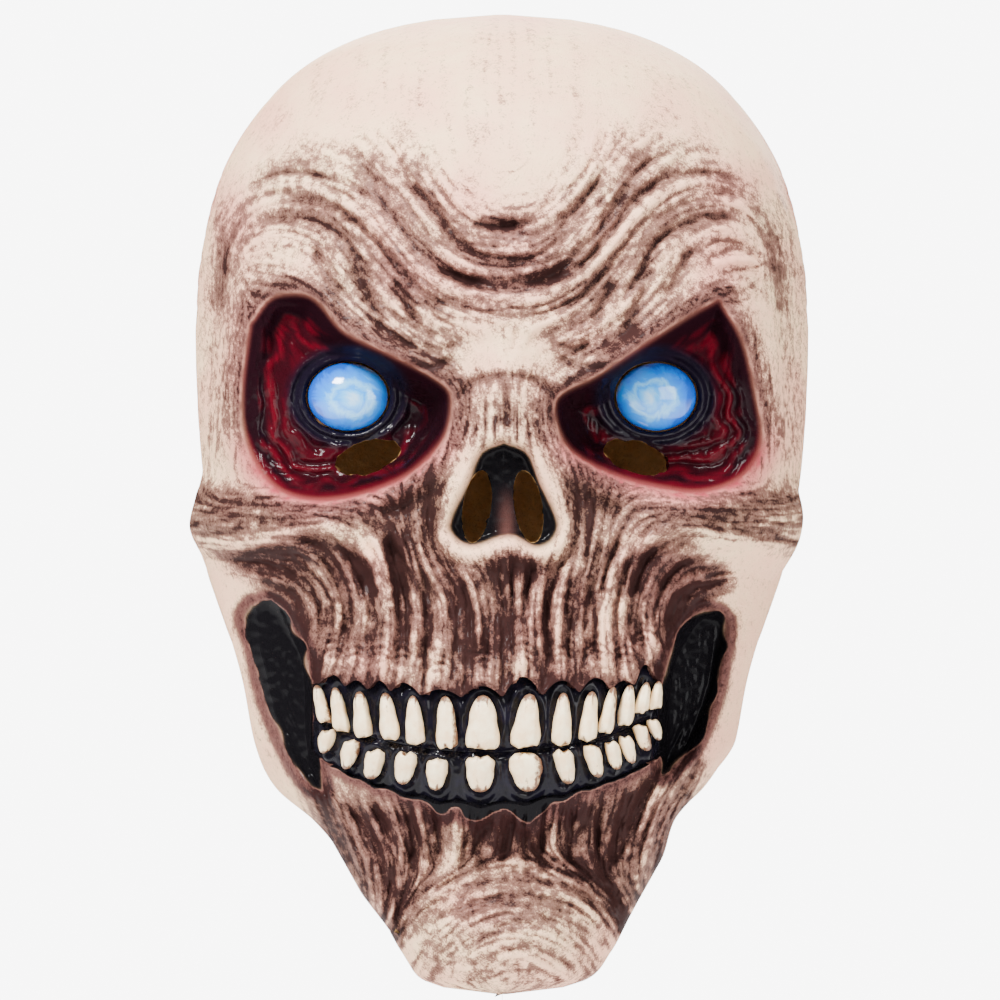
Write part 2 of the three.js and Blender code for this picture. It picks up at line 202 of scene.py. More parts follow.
def stroke(field, points, width, height):
    """Adds a ridge, or a groove where height is negative, that thins out at its ends."""
    curve, share = spline(points)
    reach = 2.6 * width
    low = (curve.min(0) - reach - (X0, Z0)) / STEP
    high = (curve.max(0) + reach - (X0, Z0)) / STEP
    i0, j0 = np.clip(low, 0, (COLUMNS, ROWS)).astype(int)
    i1, j1 = np.clip(high, 0, (COLUMNS, ROWS)).astype(int)
    window = (slice(j0, j1 + 1), slice(i0, i1 + 1))
    x, z = GX[window], GZ[window]
    best = np.full(x.shape, 1e9)
    where = np.zeros(x.shape)
    for start, end, along_it in zip(curve[:-1], curve[1:], share[:-1]):
        distance = to_segment(x, z, start, end)
        nearer = distance < best
        best[nearer] = distance[nearer]
        where[nearer] = along_it
    fade = smooth(where, 0, TAPER) * smooth(1 - where, 0, TAPER)
    field[window] += height * fade * np.exp(-best / width**2)


def outline_distance(points):
    """Distance in mm to a closed smooth outline, positive inside it."""
    best = np.full(GX.shape, 1e9)
    inside = np.zeros(GX.shape, bool)
    closed = spline([*points, points[0]], 2.0)[0]
    for (ax, az), (bx, bz) in zip(closed[:-1], closed[1:]):
        best = np.minimum(best, to_segment(GX, GZ, (ax, az), (bx, bz)))
        crosses = (az > GZ) != (bz > GZ)
        inside ^= crosses & (GX < ax + (GZ - az) * (bx - ax) / (bz - az or 1e-9))
    return np.where(inside, 1, -1) * np.sqrt(best)


def region(points, edge=6.0):
    """1 inside the outline and 0 outside it, with a soft edge."""
    return smooth(outline_distance(points), -edge, edge)


def mirrored(lines, centre, scale=1.0):
    """The lines of the mask's right side (image left), drawn on the other side."""
    return [[(centre - scale * x, z) for x, z in line] for line in lines]


# ---- lines drawn on the face

FOREHEAD = [
    [(-80.5, -57.9), (-73.3, -50), (-64, -47.1), (-48, -50), (-37.2, -58.5), (-29.2, -68.6),
     (-19.9, -77.4), (-8.3, -81), (5.5, -82.4)],
    [(-76.8, -56.4), (-69.8, -54.2), (-58.8, -55.5), (-48, -60.1), (-38.6, -67.4), (-30, -77.5),
     (-20.5, -86.1), (-8.3, -89.7)],
    [(-74.7, -62.2), (-66.1, -60.7), (-55.2, -62.2), (-46.5, -68.6), (-41.6, -77.5), (-35, -84.5)],
    [(-52.3, -39.9), (-43.8, -44.1), (-37.2, -52.1), (-29.2, -63), (-20.5, -72.3), (-11.9, -78.7),
     (5.5, -80.3)],
    [(-30.6, -44.9), (-26.3, -51.5), (-19.1, -60.1), (-13.3, -68.6), (-5.5, -73.8), (5.5, -75.2)],
    [(-9, -60.7), (-4.6, -63), (5.5, -63.7)],
    [(-46.5, -73.8), (-40.7, -86.1), (-35.8, -96.2)],
    [(-33.7, -78.7), (-27.9, -88.8), (-25.7, -93.3)],
    [(-58, -68.6), (-52.3, -80.3), (-48, -84.5)],
]
TEMPLE = [
    [(-84.8, -80.3), (-84.8, -71.7), (-82, -63.7), (-76.8, -57.3)],
    [(-87.9, -90.4), (-86.9, -81.8), (-84.2, -74.4)],
]
CHEEK_EDGE = [
    (-92.4, -159.7), (-83.8, -161.7), (-67.2, -158.3), (-59.3, -155.7), (-51.3, -156.3),
    (-44.7, -161), (-39.4, -167.6), (-37.4, -175.6),
]
DRAPE = [
    [(-83.8, -168.3), (-64.6, -172.9), (-57.9, -178.9), (-56.6, -186.2), (-57.9, -195.5)],
    [(-66.6, -159.7), (-57.9, -165), (-52.6, -172.9), (-50, -182.2), (-53.3, -189.5), (-56.6, -197.5)],
    [(-52.6, -162.3), (-47.3, -169), (-44.7, -176.9), (-42, -182.2), (-46, -192.2), (-48.6, -198.8)],
    [(-46, -159.7), (-39.4, -167.6), (-37.4, -178.9), (-38.7, -188.9), (-36.7, -196.8)],
    [(-40, -154.4), (-36, -165), (-34, -178.9), (-34.7, -192.2), (-37.4, -200.8)],
    [(-34, -154.4), (-29.4, -163.6), (-26.1, -172.9), (-26.1, -185.5), (-28.1, -195.5)],
    [(-23.4, -149), (-26.1, -159.7), (-22.1, -167.6), (-17.5, -175.6), (-16.8, -188.9), (-17.5, -198.8)],
    [(-14.1, -165), (-8.8, -172.9), (-6.8, -182.2), (-7.5, -194.2)],
]
DRAPE_CENTRE = [(4.6, -165.4), (5.5, -177.6), (6.1, -193), (5.5, -205)]
JAW = [
    [(-55.6, -233.3), (-52.1, -246.2), (-46.1, -257.4), (-42.7, -265.1)],
    [(-48.7, -235.9), (-41.8, -246.2), (-37.5, -254.7), (-35, -268.5)],
    [(-41, -235.9), (-35, -246.2), (-32.4, -254.7), (-33.2, -270.3)],
    [(-30.6, -236.7), (-27.2, -248), (-26.3, -258.3)],
    [(-22, -239.4), (-19.5, -248.8), (-20.4, -259)],
    [(-12.6, -246.2), (-11.8, -258.3)],
    [(-4, -242.8), (-7.5, -253.1), (-4.9, -260.9)],
    [(2.8, -242), (0.3, -258.3)],
    [(6.3, -246.2), (8, -259)],
    [(15.6, -242.8), (11.3, -254.7), (14.9, -260.9)],
    [(21.7, -238.5), (19.9, -254.7), (27.8, -263.3)],
    [(30.3, -236.7), (29.4, -254.7), (35.5, -271.9), (35.5, -282.3)],
    [(39.8, -233.3), (35.5, -246.2), (32.9, -258.3)],
    [(47.4, -229), (40.7, -242), (34.6, -258.3)],
    [(57.8, -229), (49.2, -242), (46.6, -254.7), (40.7, -271.9)],
]
SOCKET_RIGHT = [
    (-76.8, -93.4), (-69.8, -85.2), (-58.2, -85.2), (-48, -95.9), (-34.9, -102.6), (-16.8, -113.3),
    (-15.9, -121), (-19, -130.2), (-31.2, -140.9), (-52.7, -147), (-68, -143.9), (-77.1, -131.7),
    (-79.3, -116.4),
]
SOCKET_LEFT = [
    (66, -86), (57, -91), (43, -100), (28, -110), (17, -116), (17, -124), (21, -132), (33, -139),
    (47, -143), (61, -144.5), (73, -140), (79, -130), (77, -114), (73, -98),
]
NOSE = [
    (0.5, -128.5), (-6.8, -131.8), (-10.8, -141), (-16.8, -154.4), (-14.1, -159.7), (-8.8, -161.7),
    (2.4, -158.5), (10, -162), (15.5, -160), (17.8, -154.4), (12.2, -141), (8, -131.8),
]
HOLLOW_RIGHT = [
    (-77, -178.5), (-70, -178), (-61.5, -188.5), (-58, -197.5), (-57, -219), (-54, -236),
    (-59.5, -234), (-67, -222), (-73.5, -205), (-76.5, -192), (-79.5, -182.5),
]
HOLLOW_LEFT = [
    (66, -181), (60, -180.5), (52, -191), (48.5, -202), (47.5, -218), (48, -231), (52, -229.5),
    (59, -222), (65, -208), (68, -193), (69, -184),
]
# Lines that only show which way the skin is drawn, on one side and then the other.
BROW_FLOW = [
    [(-84, -76), (-72, -79), (-58, -79), (-47, -88), (-33, -97), (-17, -107), (-10, -118)],
    [(-60, -72), (-47, -82), (-35, -92), (-20, -101), (-9, -112)],
    [(-88, -148), (-88, -130), (-87, -110), (-84, -94)],
    [(-92, -150), (-75, -152), (-55, -151), (-40, -147), (-30, -151), (-27, -160)],
    [(-88, -157), (-70, -156), (-56, -154)],
    [(-12, -124), (-17, -138), (-23, -150), (-24, -162)],
    [(-4, -96), (-4, -112), (-6, -126)],
    [(-80, -176), (-84, -195), (-76, -215), (-66, -232)],
    [(-92, -60), (-93, -100), (-92, -135)],
    [(-60, -8), (-66, -25), (-68, -40)],
    [(-20, -2), (-22, -25), (-20, -42)],
]
FROWN = [
    [(-31, -105), (-25, -106.5), (-19, -106), (-14, -103)],
    [(-14, -117), (-9, -111.5), (-3, -109.5), (1.5, -109.5)],
    [(-25, -99), (-19, -101.5), (-13, -99)],
    [(-40, -93), (-33, -97.5), (-26, -101)],
]
CHIN = (5, -279)
LOBES = [-51.3, -44.5, -37.3, -30.5, -18.9, -5.8, 6.3, 18.4, 28.8, 37.6, 43.5]
LOBE_TOPS = [-200.2, -201.8, -201.8, -202.4, -204.5, -203.5, -200.6, -201.8, -201, -201.8, -197]


def arch(size, points=9):
    """Half an ellipse over the chin, open below."""
    angles = np.linspace(0.08 * math.pi, 0.92 * math.pi, points)
    return [(CHIN[0] + size[0] * math.cos(a), CHIN[1] + size[1] * math.sin(a)) for a in angles]


FOREHEAD_LINES = FOREHEAD + mirrored(FOREHEAD, 3, 0.95)
TEMPLE_LINES = TEMPLE + mirrored(TEMPLE, 0, 0.98)
FROWN_LINES = FROWN + mirrored(FROWN, 3)
DRAPE_LINES = DRAPE + mirrored(DRAPE, 4.3, 0.76) + [DRAPE_CENTRE]
CHEEK_EDGES = [CHEEK_EDGE] + mirrored([CHEEK_EDGE], 0, 0.98)
CHIN_LINES = [arch(size) for size in [(38, 19), (30, 15.5), (24, 12), (18, 9.5), (13, 7), (8, 4)]]
# Grooves under the cheekbones; the dark paint laid in them is painted shade in the gaps.
SHADED_GAPS = [
    [(-66, -160.5), (-55, -159), (-46, -163.5), (-41.5, -169.5), (-40, -178)],
    [(-37.5, -157.5), (-34, -160.5), (-31.5, -167), (-30, -177)],
    [(-38, -150.5), (-31, -149), (-23, -144.5)],
]
SHADED_GAP_LINES = SHADED_GAPS + mirrored(SHADED_GAPS, 4.3, 0.88)
NOSE_FOLD = [[(-17.5, -138), (-21.5, -149), (-21, -159.5), (-16, -166), (-9, -167)]]
NOSE_FOLDS = NOSE_FOLD + mirrored(NOSE_FOLD, 1.5)
GUIDES = (
    FOREHEAD_LINES + TEMPLE_LINES + FROWN_LINES + DRAPE_LINES + JAW + CHIN_LINES + CHEEK_EDGES
    + BROW_FLOW + mirrored(BROW_FLOW, 2, 0.98) + NOSE_FOLDS
)


# ---- which way the skin is drawn

def flow(guides, reach=6.5, coarse=6):
    """The doubled angle of the nearest guides, as its cosine and sine over the fine grid."""
    x, z = GX[::coarse, ::coarse], GZ[::coarse, ::coarse]
    cosine = np.full(x.shape, -1e-4)
    sine = np.zeros(x.shape)
    for line in guides:
        curve, _ = spline(line, 3.0)
        step = np.diff(curve, axis=0)
        middle = (curve[1:] + curve[:-1]) / 2
        angle = 2 * np.arctan2(step[:, 1], step[:, 0])
        distance = (x[..., None] - middle[:, 0]) ** 2 + (z[..., None] - middle[:, 1]) ** 2
        weight = np.exp(-distance / (2 * reach**2)) + 0.02 / (1 + distance / 200)
        cosine += (weight * np.cos(angle)).sum(-1)
        sine += (weight * np.sin(angle)).sum(-1)
    length = np.hypot(cosine, sine)
    fine = []
    for part in (cosine / length, sine / length):
        rows = np.stack([np.interp(GX[0], x[0], row) for row in part])
        fine.append(np.stack([np.interp(GZ[:, 0], z[:, 0], column) for column in rows.T], -1))
    return fine


def comb(field, cosine, sine, length, step=0.9):
    """Smears the field along the flow, which leaves ridges and grooves that follow it."""
    total = field.copy()
    for way in (1, -1):
        x, z = GX.copy(), GZ.copy()
        half = np.arctan2(sine, cosine) / 2
        dx, dz = way * np.cos(half), way * np.sin(half)
        for _ in range(int(length / 2 / step)):
            x += dx * step
            z += dz * step
            half = np.arctan2(read(sine, x, z), read(cosine, x, z)) / 2
            nx, nz = np.cos(half), np.sin(half)
            turned = np.where(nx * dx + nz * dz < 0, -1, 1)
            dx, dz = nx * turned, nz * turned
            total += read(field, x, z)
    return total / total.std()


def creases(field, sharpness=0.75):
    """Round-topped folds with narrow valleys: 0 in the valleys and about 1 on the tops."""
    return np.clip(np.abs(field) / 1.6, 0, 1.3) ** sharpness


COSINE, SINE = flow(GUIDES)
fold_raw = comb(noise(9.0), COSINE, SINE, 56)
strand_raw = comb(noise(4.4), COSINE, SINE, 30)
stria_raw = comb(noise(2.1), COSINE, SINE, 14)
patchy = noise(26)
blotch = noise(11)
speck = noise(3.2)

# ---- areas of the face

socket_in = np.maximum(outline_distance(SOCKET_RIGHT), outline_distance(SOCKET_LEFT))
nose_in = outline_distance(NOSE)
hollow_in = np.maximum(outline_distance(HOLLOW_RIGHT), outline_distance(HOLLOW_LEFT))

forehead = region([
    (-90, -64), (-66, -40), (-28, -38), (-10, -54), (4, -58), (16, -52), (30, -36), (62, -38),
    (86, -66), (80, -82), (60, -76), (40, -88), (22, -104), (8, -98), (-10, -98), (-20, -104),
    (-40, -90), (-62, -76), (-84, -82),
], 7)
drape = region([
    (-88, -163), (-62, -159), (-48, -160), (-40, -164), (-30, -158), (-22, -164), (-12, -169),
    (4, -164), (18, -169), (26, -160), (36, -163), (46, -162), (62, -164), (70, -172), (56, -182),
    (49, -196), (46, -212), (0, -212), (-56, -212), (-58, -192), (-66, -180),
], 4)
jaw = region([
    (-60, -226), (-50, -236), (-4, -240), (44, -232), (56, -220), (62, -232), (52, -262),
    (42, -288), (30, -270), (4, -257), (-20, -262), (-36, -288), (-48, -266), (-58, -246),
], 5)
chin = region([
    (-40, -284), (-34, -270), (-20, -262), (4, -257), (30, -266), (40, -282), (36, -298), (0, -302),
    (-34, -298),
], 5)
brow = region([
    (-88, -86), (-70, -78), (-48, -86), (-30, -94), (-14, -104), (4, -106), (20, -104), (34, -94),
    (50, -84), (72, -78), (86, -88), (76, -86), (60, -90), (44, -100), (20, -116), (14, -128),
    (8, -133), (-6, -133), (-11, -128), (-14, -114), (-36, -100), (-50, -93), (-62, -84), (-78, -92),
], 4)
cheek = region([
    (-98, -140), (-80, -144), (-60, -149), (-36, -145), (-20, -134), (-22, -160), (-40, -160),
    (-52, -156), (-70, -158), (-98, -162),
], 5)
cheek = np.maximum(cheek, region([
    (98, -140), (80, -144), (60, -148), (44, -146), (22, -134), (24, -162), (38, -160),
    (52, -158), (72, -160), (98, -162),
], 5))
skull = smooth(GZ, -70, -36)


def by_area(*amounts):
    """The amounts for the drape, jaw, forehead, chin, cheeks and brow, each over its own area."""
    return sum(amount * area for amount, area in zip(amounts, (drape, jaw, forehead, chin, cheek, brow)))


# ---- the mouth window


def scallops(centres, tops, cusp, power=1.9):
    """The upper edge of the mouth: an arch over each tooth, with a cusp between arches."""
    x = GX[0]
    bounds = [centres[0] - 4.5, *[(a + b) / 2 for a, b in zip(centres[:-1], centres[1:])], centres[-1] + 4]
    edge = cusp(x)
    for centre, top, low, high in zip(centres, tops, bounds[:-1], bounds[1:]):
        half = np.where(x < centre, centre - low, high - centre)
        inside = (x >= low) & (x <= high)
        fall = np.abs((x - centre) / half) ** power
        edge[inside] = (top - (top - cusp(x)) * np.clip(fall, 0, 1))[inside]
    return edge


MOUTH_X = -5.0


def bite_at(x):
    return -223.8 + 0.0038 * (x - MOUTH_X) ** 2


LOWER_X = [-53.4, -46.3, -38.9, -29.4, -19.8, -6.6, 7.4, 19.2, 28, 34, 38.4, 42.8, 46.6]
top_edge = scallops(LOBES, LOBE_TOPS, lambda x: -207.2 + 0.0016 * (x + 5) ** 2)
bottom_edge = -239.4 + 0.0056 * (GX[0] - MOUTH_X) ** 2
for tooth_x in LOWER_X:
    bottom_edge -= 1.3 * bell(GX[0], tooth_x, 3.2)
mouth_in = np.minimum(top_edge[None, :] - GZ, GZ - bottom_edge[None, :])
mouth_in = blur(np.minimum(mouth_in, 53.2 - np.abs(GX - MOUTH_X)), 0.45)


def slot_in(x, z, size, tilt):
    """About the distance inside an oval at x, z."""
    return (1 - tilted(GX, GZ, x, z, *size, tilt)) * min(size)


slits = np.maximum(slot_in(-41, -134, (10.2, 4.9), 17), slot_in(41, -134, (10.2, 4.9), -17))
slits = slits + 0.25 * blur(speck, 0.6)

# ---- the relief of the face

relief = np.zeros(GX.shape)
wash_and_shade = np.zeros(GX.shape)


def carve(lines, width, height, paint, spread=1.25):
    """Draws the lines into the relief, and their paint into the wash and shade; dark paint in a groove is
    partly painted shade.
    """
    for line in lines:
        stroke(relief, line, width, height)
        stroke(wash_and_shade, line, width * spread, paint)


fold = creases(fold_raw)
strand = creases(strand_raw)
stria = creases(stria_raw, 0.9)
fold_valley = 1 - smooth(fold, 0.05, 0.75)
strand_valley = 1 - smooth(strand, 0.05, 0.7)
stria_valley = 1 - smooth(stria, 0.0, 0.6)

relief += (fold - 0.6) * by_area(2.9, 2.9, 2.2, 1.0, 0.8, 0.3)
relief += (strand - 0.6) * by_area(1.5, 1.7, 1.1, 1.3, 0.9, 0.6)
relief += (stria - 0.6) * (0.14 + by_area(0.4, 0.5, 0.35, 0.5, 0.55, 0.4)) * (1 - 0.85 * skull)

# Grooves get dark paint, partly the mask's own wash and partly painted shade; ridges get lighter paint.
carve(FOREHEAD_LINES, 1.7, -2.6, 0.5)
carve(TEMPLE_LINES, 1.7, -1.6, 0.4)
carve(FROWN_LINES, 1.3, -1.8, 0.5)
carve(DRAPE_LINES, 2.0, 3.4, -0.4, 1.0)
# The dark paint in these grooves is painted shade.
carve(SHADED_GAP_LINES, 2.2, -2.6, 0.5)
carve(NOSE_FOLDS, 1.5, -1.8, 0.4)
carve(JAW, 1.6, -2.9, 0.5, 1.2)
carve(CHIN_LINES, 1.5, -1.8, 0.25)
carve(CHEEK_EDGES, 2.4, 2.2, -0.3, 1.0)
carve([[(1.5, -109), (1.2, -117), (1.6, -126)]], 1.3, -1.4, 0.5)

# The folds die away at the edge of the mouth.
relief *= 1 - 0.75 * bell(mouth_in, 0, 3)

# The rounded lobes over the upper teeth, and the rolled rim of the nose.
LOBE_HALF = 4.2
for lobe_x, lobe_top in zip(LOBES, LOBE_TOPS):
    dome = spot(lobe_x, lobe_top + 3.6, LOBE_HALF, 3.6)
    relief += 2.4 * dome
    wash_and_shade -= 0.55 * dome
    wrinkled = spot(lobe_x, lobe_top + 8.5, LOBE_HALF, 3.5)
    ripple = np.cos(2 * math.pi * (GZ - lobe_top + 2.5 * ((GX - lobe_x) / LOBE_HALF) ** 2) / 2.3)
    relief += 0.4 * ripple * wrinkled
    wash_and_shade -= 0.22 * ripple * wrinkled
nose_rim = bell(nose_in, -2.6, 2.4)
relief += 2.4 * nose_rim
wash_and_shade -= 0.15 * nose_rim
relief += 1.8 * bell(socket_in, -3.5, 3.6)

# Rings of creases round each eye, deepest under it and to its outside.
EYE_X, EYE_Z = 47.0, -115.5
EYE_RADIUS = (12.4, 10.4)
eye_angle = np.arctan2(GZ - EYE_Z, (np.abs(GX) - EYE_X) * 0.85)
eye_out = np.hypot((np.abs(GX) - EYE_X) / EYE_RADIUS[0], (GZ - EYE_Z) / EYE_RADIUS[1]) - 1
eye_mm = eye_out * 11.2
under = 0.45 + 0.55 * smooth(-np.sin(eye_angle - 0.6), -0.4, 0.9)
ring_phase = socket_in + 1.6 * blur(blotch, 2.0)
rings = 0.5 + 0.5 * np.cos(2 * math.pi * ring_phase / 4.6)
ring_mask = smooth(socket_in, 0.5, 4) * smooth(eye_mm, 3, 6)
relief += 1.25 * (rings - 0.5) * ring_mask * under
relief += 0.5 * (strand - 0.6) * ring_mask
for ring_mm, ring_height in [(1.7, 2.6), (4.9, 1.9)]:
    lid = bell(eye_mm, ring_mm, 1.15)
    relief += ring_height * lid * (0.75 + 0.25 * under) * (1 - 0.85 * smooth(slits, -2.2, -0.4))

relief += 0.5 * bell(mouth_in, -1, 2) * smooth(GZ, -236, -222)
relief += 0.06 * speck * (1 - skull) + 0.02 * speck

# ---- the openings in the face

SEPTUM_X = 0.2
nostrils = np.maximum(
    slot_in(SEPTUM_X - 7.8, -149, (4.3, 11.2), -9),
    slot_in(SEPTUM_X + 7.8, -149, (4.3, 11.2), 9),
)
eye_holes = -eye_mm + 0.4
openings = np.maximum(np.maximum(mouth_in, slits), np.maximum(nostrils, eye_holes))

# The edge of each see-through slit is a little raised, as where a blade went through thick latex.
relief += 0.7 * bell(slits, -1, 1.1)

# ---- paint

ridge_bare = smooth(fold, 0.7, 1.15) * 0.7 + smooth(strand, 0.75, 1.2) * 0.4
scratch = smooth(stria_raw, 0.9, 2.0)
worked = np.clip(by_area(1, 1, 1, 0.9, 0.7, 0.6), 0, 1)
wash_and_shade += by_area(0.78, 0.3, 0.04, 0.06, 0.42, 0.07) * (0.95 + 0.16 * patchy.clip(-1.5, 1.5))
# In the valleys of the folds, strands and streaks the wash is partly the mask's own and partly painted
# shade.
wash_and_shade += fold_valley * by_area(0.4, 0.42, 0.3, 0.22, 0.3, 0.1)
wash_and_shade += strand_valley * by_area(0.36, 0.4, 0.24, 0.26, 0.4, 0.24)
wash_and_shade += stria_valley * (0.1 + by_area(0.14, 0.12, 0.1, 0.14, 0.2, 0.12)) * (1 - 0.8 * skull)
wash_and_shade += scratch * (0.2 + by_area(0.3, 0.3, 0.22, 0.24, 0.45, 0.3)) * (1 - 0.6 * skull)
wash_and_shade -= 0.3 * ridge_bare * worked
wash_and_shade += 0.09 * speck * worked
wash_and_shade += skull * (0.07 * np.clip(blotch + patchy, 0, 2) + 0.09 * np.clip(strand_raw, 0, 2))
wash_and_shade += 0.2 * spot(4, -80, 22, 14)
temples = smooth(np.abs(GX), 80, 88) * smooth(GZ, -150, -130) * (1 - smooth(GZ, -60, -25))
wash_and_shade += temples * (0.12 + 0.3 * stria_valley + 0.2 * scratch)
wash_and_shade += 0.3 * scratch * spot(6, -56, 20, 13)
wash_and_shade += bell(nose_in, -5, 4.5) * (0.2 + 0.4 * stria_valley + 0.5 * scratch)
nose_inside = smooth(nose_in, -0.6, 1.6)

low_in_socket = smooth(-GZ, 120, 136)
socket_paint = smooth(socket_in, -2.6, 1.6)
rim_shade = socket_paint * (1 - smooth(socket_in, 3.5, 8)) * (1 - 0.8 * low_in_socket)
inner_corner = bell(np.abs(GX), 24, 9) * socket_paint
# Plum in the creases of the rings round the eye, partly the mask's paint and partly painted shade.
creased = np.clip((1 - rings) * ring_mask + 0.6 * strand_valley * ring_mask, 0, 1)
plum = np.clip(0.95 * rim_shade + 0.8 * creased + 0.35 * inner_corner, 0, 1) * socket_paint
plum = np.maximum(plum, 0.55 * smooth(socket_in, 9, 15) * socket_paint)
halo = bell(socket_in, -2.5, 4)
lids = 1 - smooth(eye_mm, 4.0, 7.5)
blush = (
    spot(66, -66, 16, 20)
    + spot(-84, -66, 10, 24)
    + 0.8 * spot(6, -70, 26, 16)
    + 0.7 * spot(-30, -74, 22, 16)
    + 1.2 * halo * (0.4 + 0.6 * low_in_socket)
    + by_area(0.5, 0.3)
)
smudge = spot(1, -243, 24, 6.5)
from_mouth = np.clip(-mouth_in, 0, 99)
below_lip = np.exp(-from_mouth / 3.4) * (1 - smooth(GZ, -214, -208))
soot = np.clip(0.75 * smudge * (0.8 + 0.25 * blotch) + 0.95 * below_lip, 0, 1)
soot = np.maximum(soot, 0.8 * bell(hollow_in, -1, 2.2))
mouth_end = smooth(np.abs(GX - MOUTH_X), 49, 52) * smooth(-GZ, 203, 206) * (1 - smooth(-GZ, 231, 236))
black = np.maximum.reduce([
    smooth(soot, 0.6, 0.95) * (hollow_in < -2.5),
    smooth(hollow_in + 0.9 * blur(blotch, 1.5), -2.0, 1.2),
    0.7 * np.exp(-from_mouth / 1.1) * smooth(-GZ, 196, 206),
    mouth_end * np.exp(-from_mouth / 5.0),
    nose_inside,
])

CREAM = np.array([0.95, 0.65, 0.39])
PINK = np.array([0.88, 0.41, 0.30])
MAUVE = np.array([0.135, 0.058, 0.05])
UMBER = np.array([0.021, 0.0085, 0.0085])
CRIMSON = np.array([0.085, 0.0025, 0.008])
ROSE = np.array([0.42, 0.07, 0.085])
PLUM = np.array([0.010, 0.0025, 0.0045])
NAVY = np.array([0.006, 0.005, 0.011])
BLACK = np.array([0.0045, 0.004, 0.005])


def coat(colour, paint, amount):
    """Lays paint over the colour."""
    return colour + (paint - colour) * np.clip(amount, 0, 1)[..., None]


def flesh(blush, mottle):
    """Cream latex with a pink blush, before the brown wash and its painted shade."""
    colour = np.broadcast_to(CREAM, (*blush.shape, 3))
    return coat(colour, PINK, 0.8 * blush + 0.2 + 0.22 * mottle)


# Round the edge of each socket the paint is rose below the eye and mauve above it; the mauve above is
# painted shade under the brow.
border = bell(socket_in, -0.8, 1.8)
septum = bell(GX, 1.4, 2.2) * smooth(-GZ, 141, 158) * nose_inside
face_paint = flesh(blush, patchy)
for paint, amount in [
    (ROSE, (0.6 * halo + 0.5 * border) * low_in_socket),
    # Painted shade under the brow: the upper border in mauve.
    (MAUVE, 0.85 * border * (1 - low_in_socket)),
    (CRIMSON, socket_paint),
    (PLUM, plum),
    (NAVY, 0.97 * lids * smooth(socket_in, 0, 3)),
    (UMBER, smooth(soot, 0.2, 0.6)),
    (BLACK, black),
    (0.75 * MAUVE, 0.8 * septum),
]:
    face_paint = coat(face_paint, paint, amount)
# The halo above each eye takes more wash, which is painted shade under the brow; its scratches and streaks
# are the mask's own paint.
wash_and_shade += 0.45 * halo * (1 - low_in_socket) + halo * (0.5 * scratch + 0.35 * stria_valley) + 0.9 * soot
# Where other paint covers the latex, the wash and its painted shade are negative, so that the material's own
# noise can't show them.
covered = np.maximum(smooth(socket_in, -1.6, 1.0), smooth(black, 0.8, 1.0))
wash_and_shade = np.clip(wash_and_shade, 0, 1.6) * (1 - covered) - covered
above_eye = smooth(GZ, EYE_Z, EYE_Z + 7)
face_gloss = (0.4 * socket_paint * smooth(socket_in, 0, 4) + 0.25 * lids) * (1 - 0.9 * above_eye)
face_gloss = face_gloss + 0.1 * (1 - socket_paint) + 0.15 * smooth(black, 0.5, 0.9)

# ---- the skins

FACE_START, FACE_FULL = 14, 44    # how far forward of the crown the face begins and is full
# Forms of the face: x, z, half width, half height, tilt, core, rise, and whether it is on both sides.
RISES = [
    (47, -103, 44, 12, 19, 0.2, 7, True),      # brow ridge
    (85, -118, 9, 30, -4, 0.2, 3, True),       # outer rim of the socket
    (0, -112, 17, 17, 0, 0.1, 3, False),       # glabella
    (1, -136, 15, 36, 0, 0.1, 8, False),       # bridge of the nose
    (1, -150, 24, 26, 0, 0.5, 4, False),       # rim of the nose
    (64, -154, 38, 15, 4, 0.2, 7, True),       # cheekbone
    (60, -180, 30, 20, 20, 0.1, -7, True),     # under the cheekbone
    (0, -216, 56, 44, 0, 0.3, 4, False),       # dental arch
    (0, -282, 32, 20, 0, 0.2, 5, False),       # chin
    (0, -256, 34, 14, 0, 0.2, -3, False),      # above the chin
]
# Forms of the sides: y, z, half length, half height, tilt, core, push outwards, and the side it is
# on, or 0 for both.
PUSHES = [
    (-46, -156, 40, 17, 0, 0.2, 4, 0),         # end of the cheekbone
    (-42, -98, 26, 46, 0, 0.2, -3.5, 0),       # temple
    (-24, -200, 30, 40, 0, 0.1, -3, 0),        # hollow behind the jaw
    (-36, -150, 44, 15, 0, 0.3, 2.6, -1),      # right cheekbone
    (-22, -200, 44, 62, -22, 0.5, 4.4, -1),    # right side of the jaw
    (-72, -284, 38, 18, 0, 0.3, -2.6, -1),     # right side of the chin
    (-42, -240, 44, 20, 0, 0.1, -5.5, 1),      # left corner of the jaw
]
socket_share = smooth(socket_in, -2.5, 9)
nose_share = smooth(nose_in, -1.2, 2.8)
hollow_share = smooth(hollow_in, -2.5, 3.5)


def footprint(x, z, *oval, core):
    """How much of a form there is at x, z: 1 in its core and 0 outside its oval."""
    return 1 - smooth(tilted(x, z, *oval), core, 1)


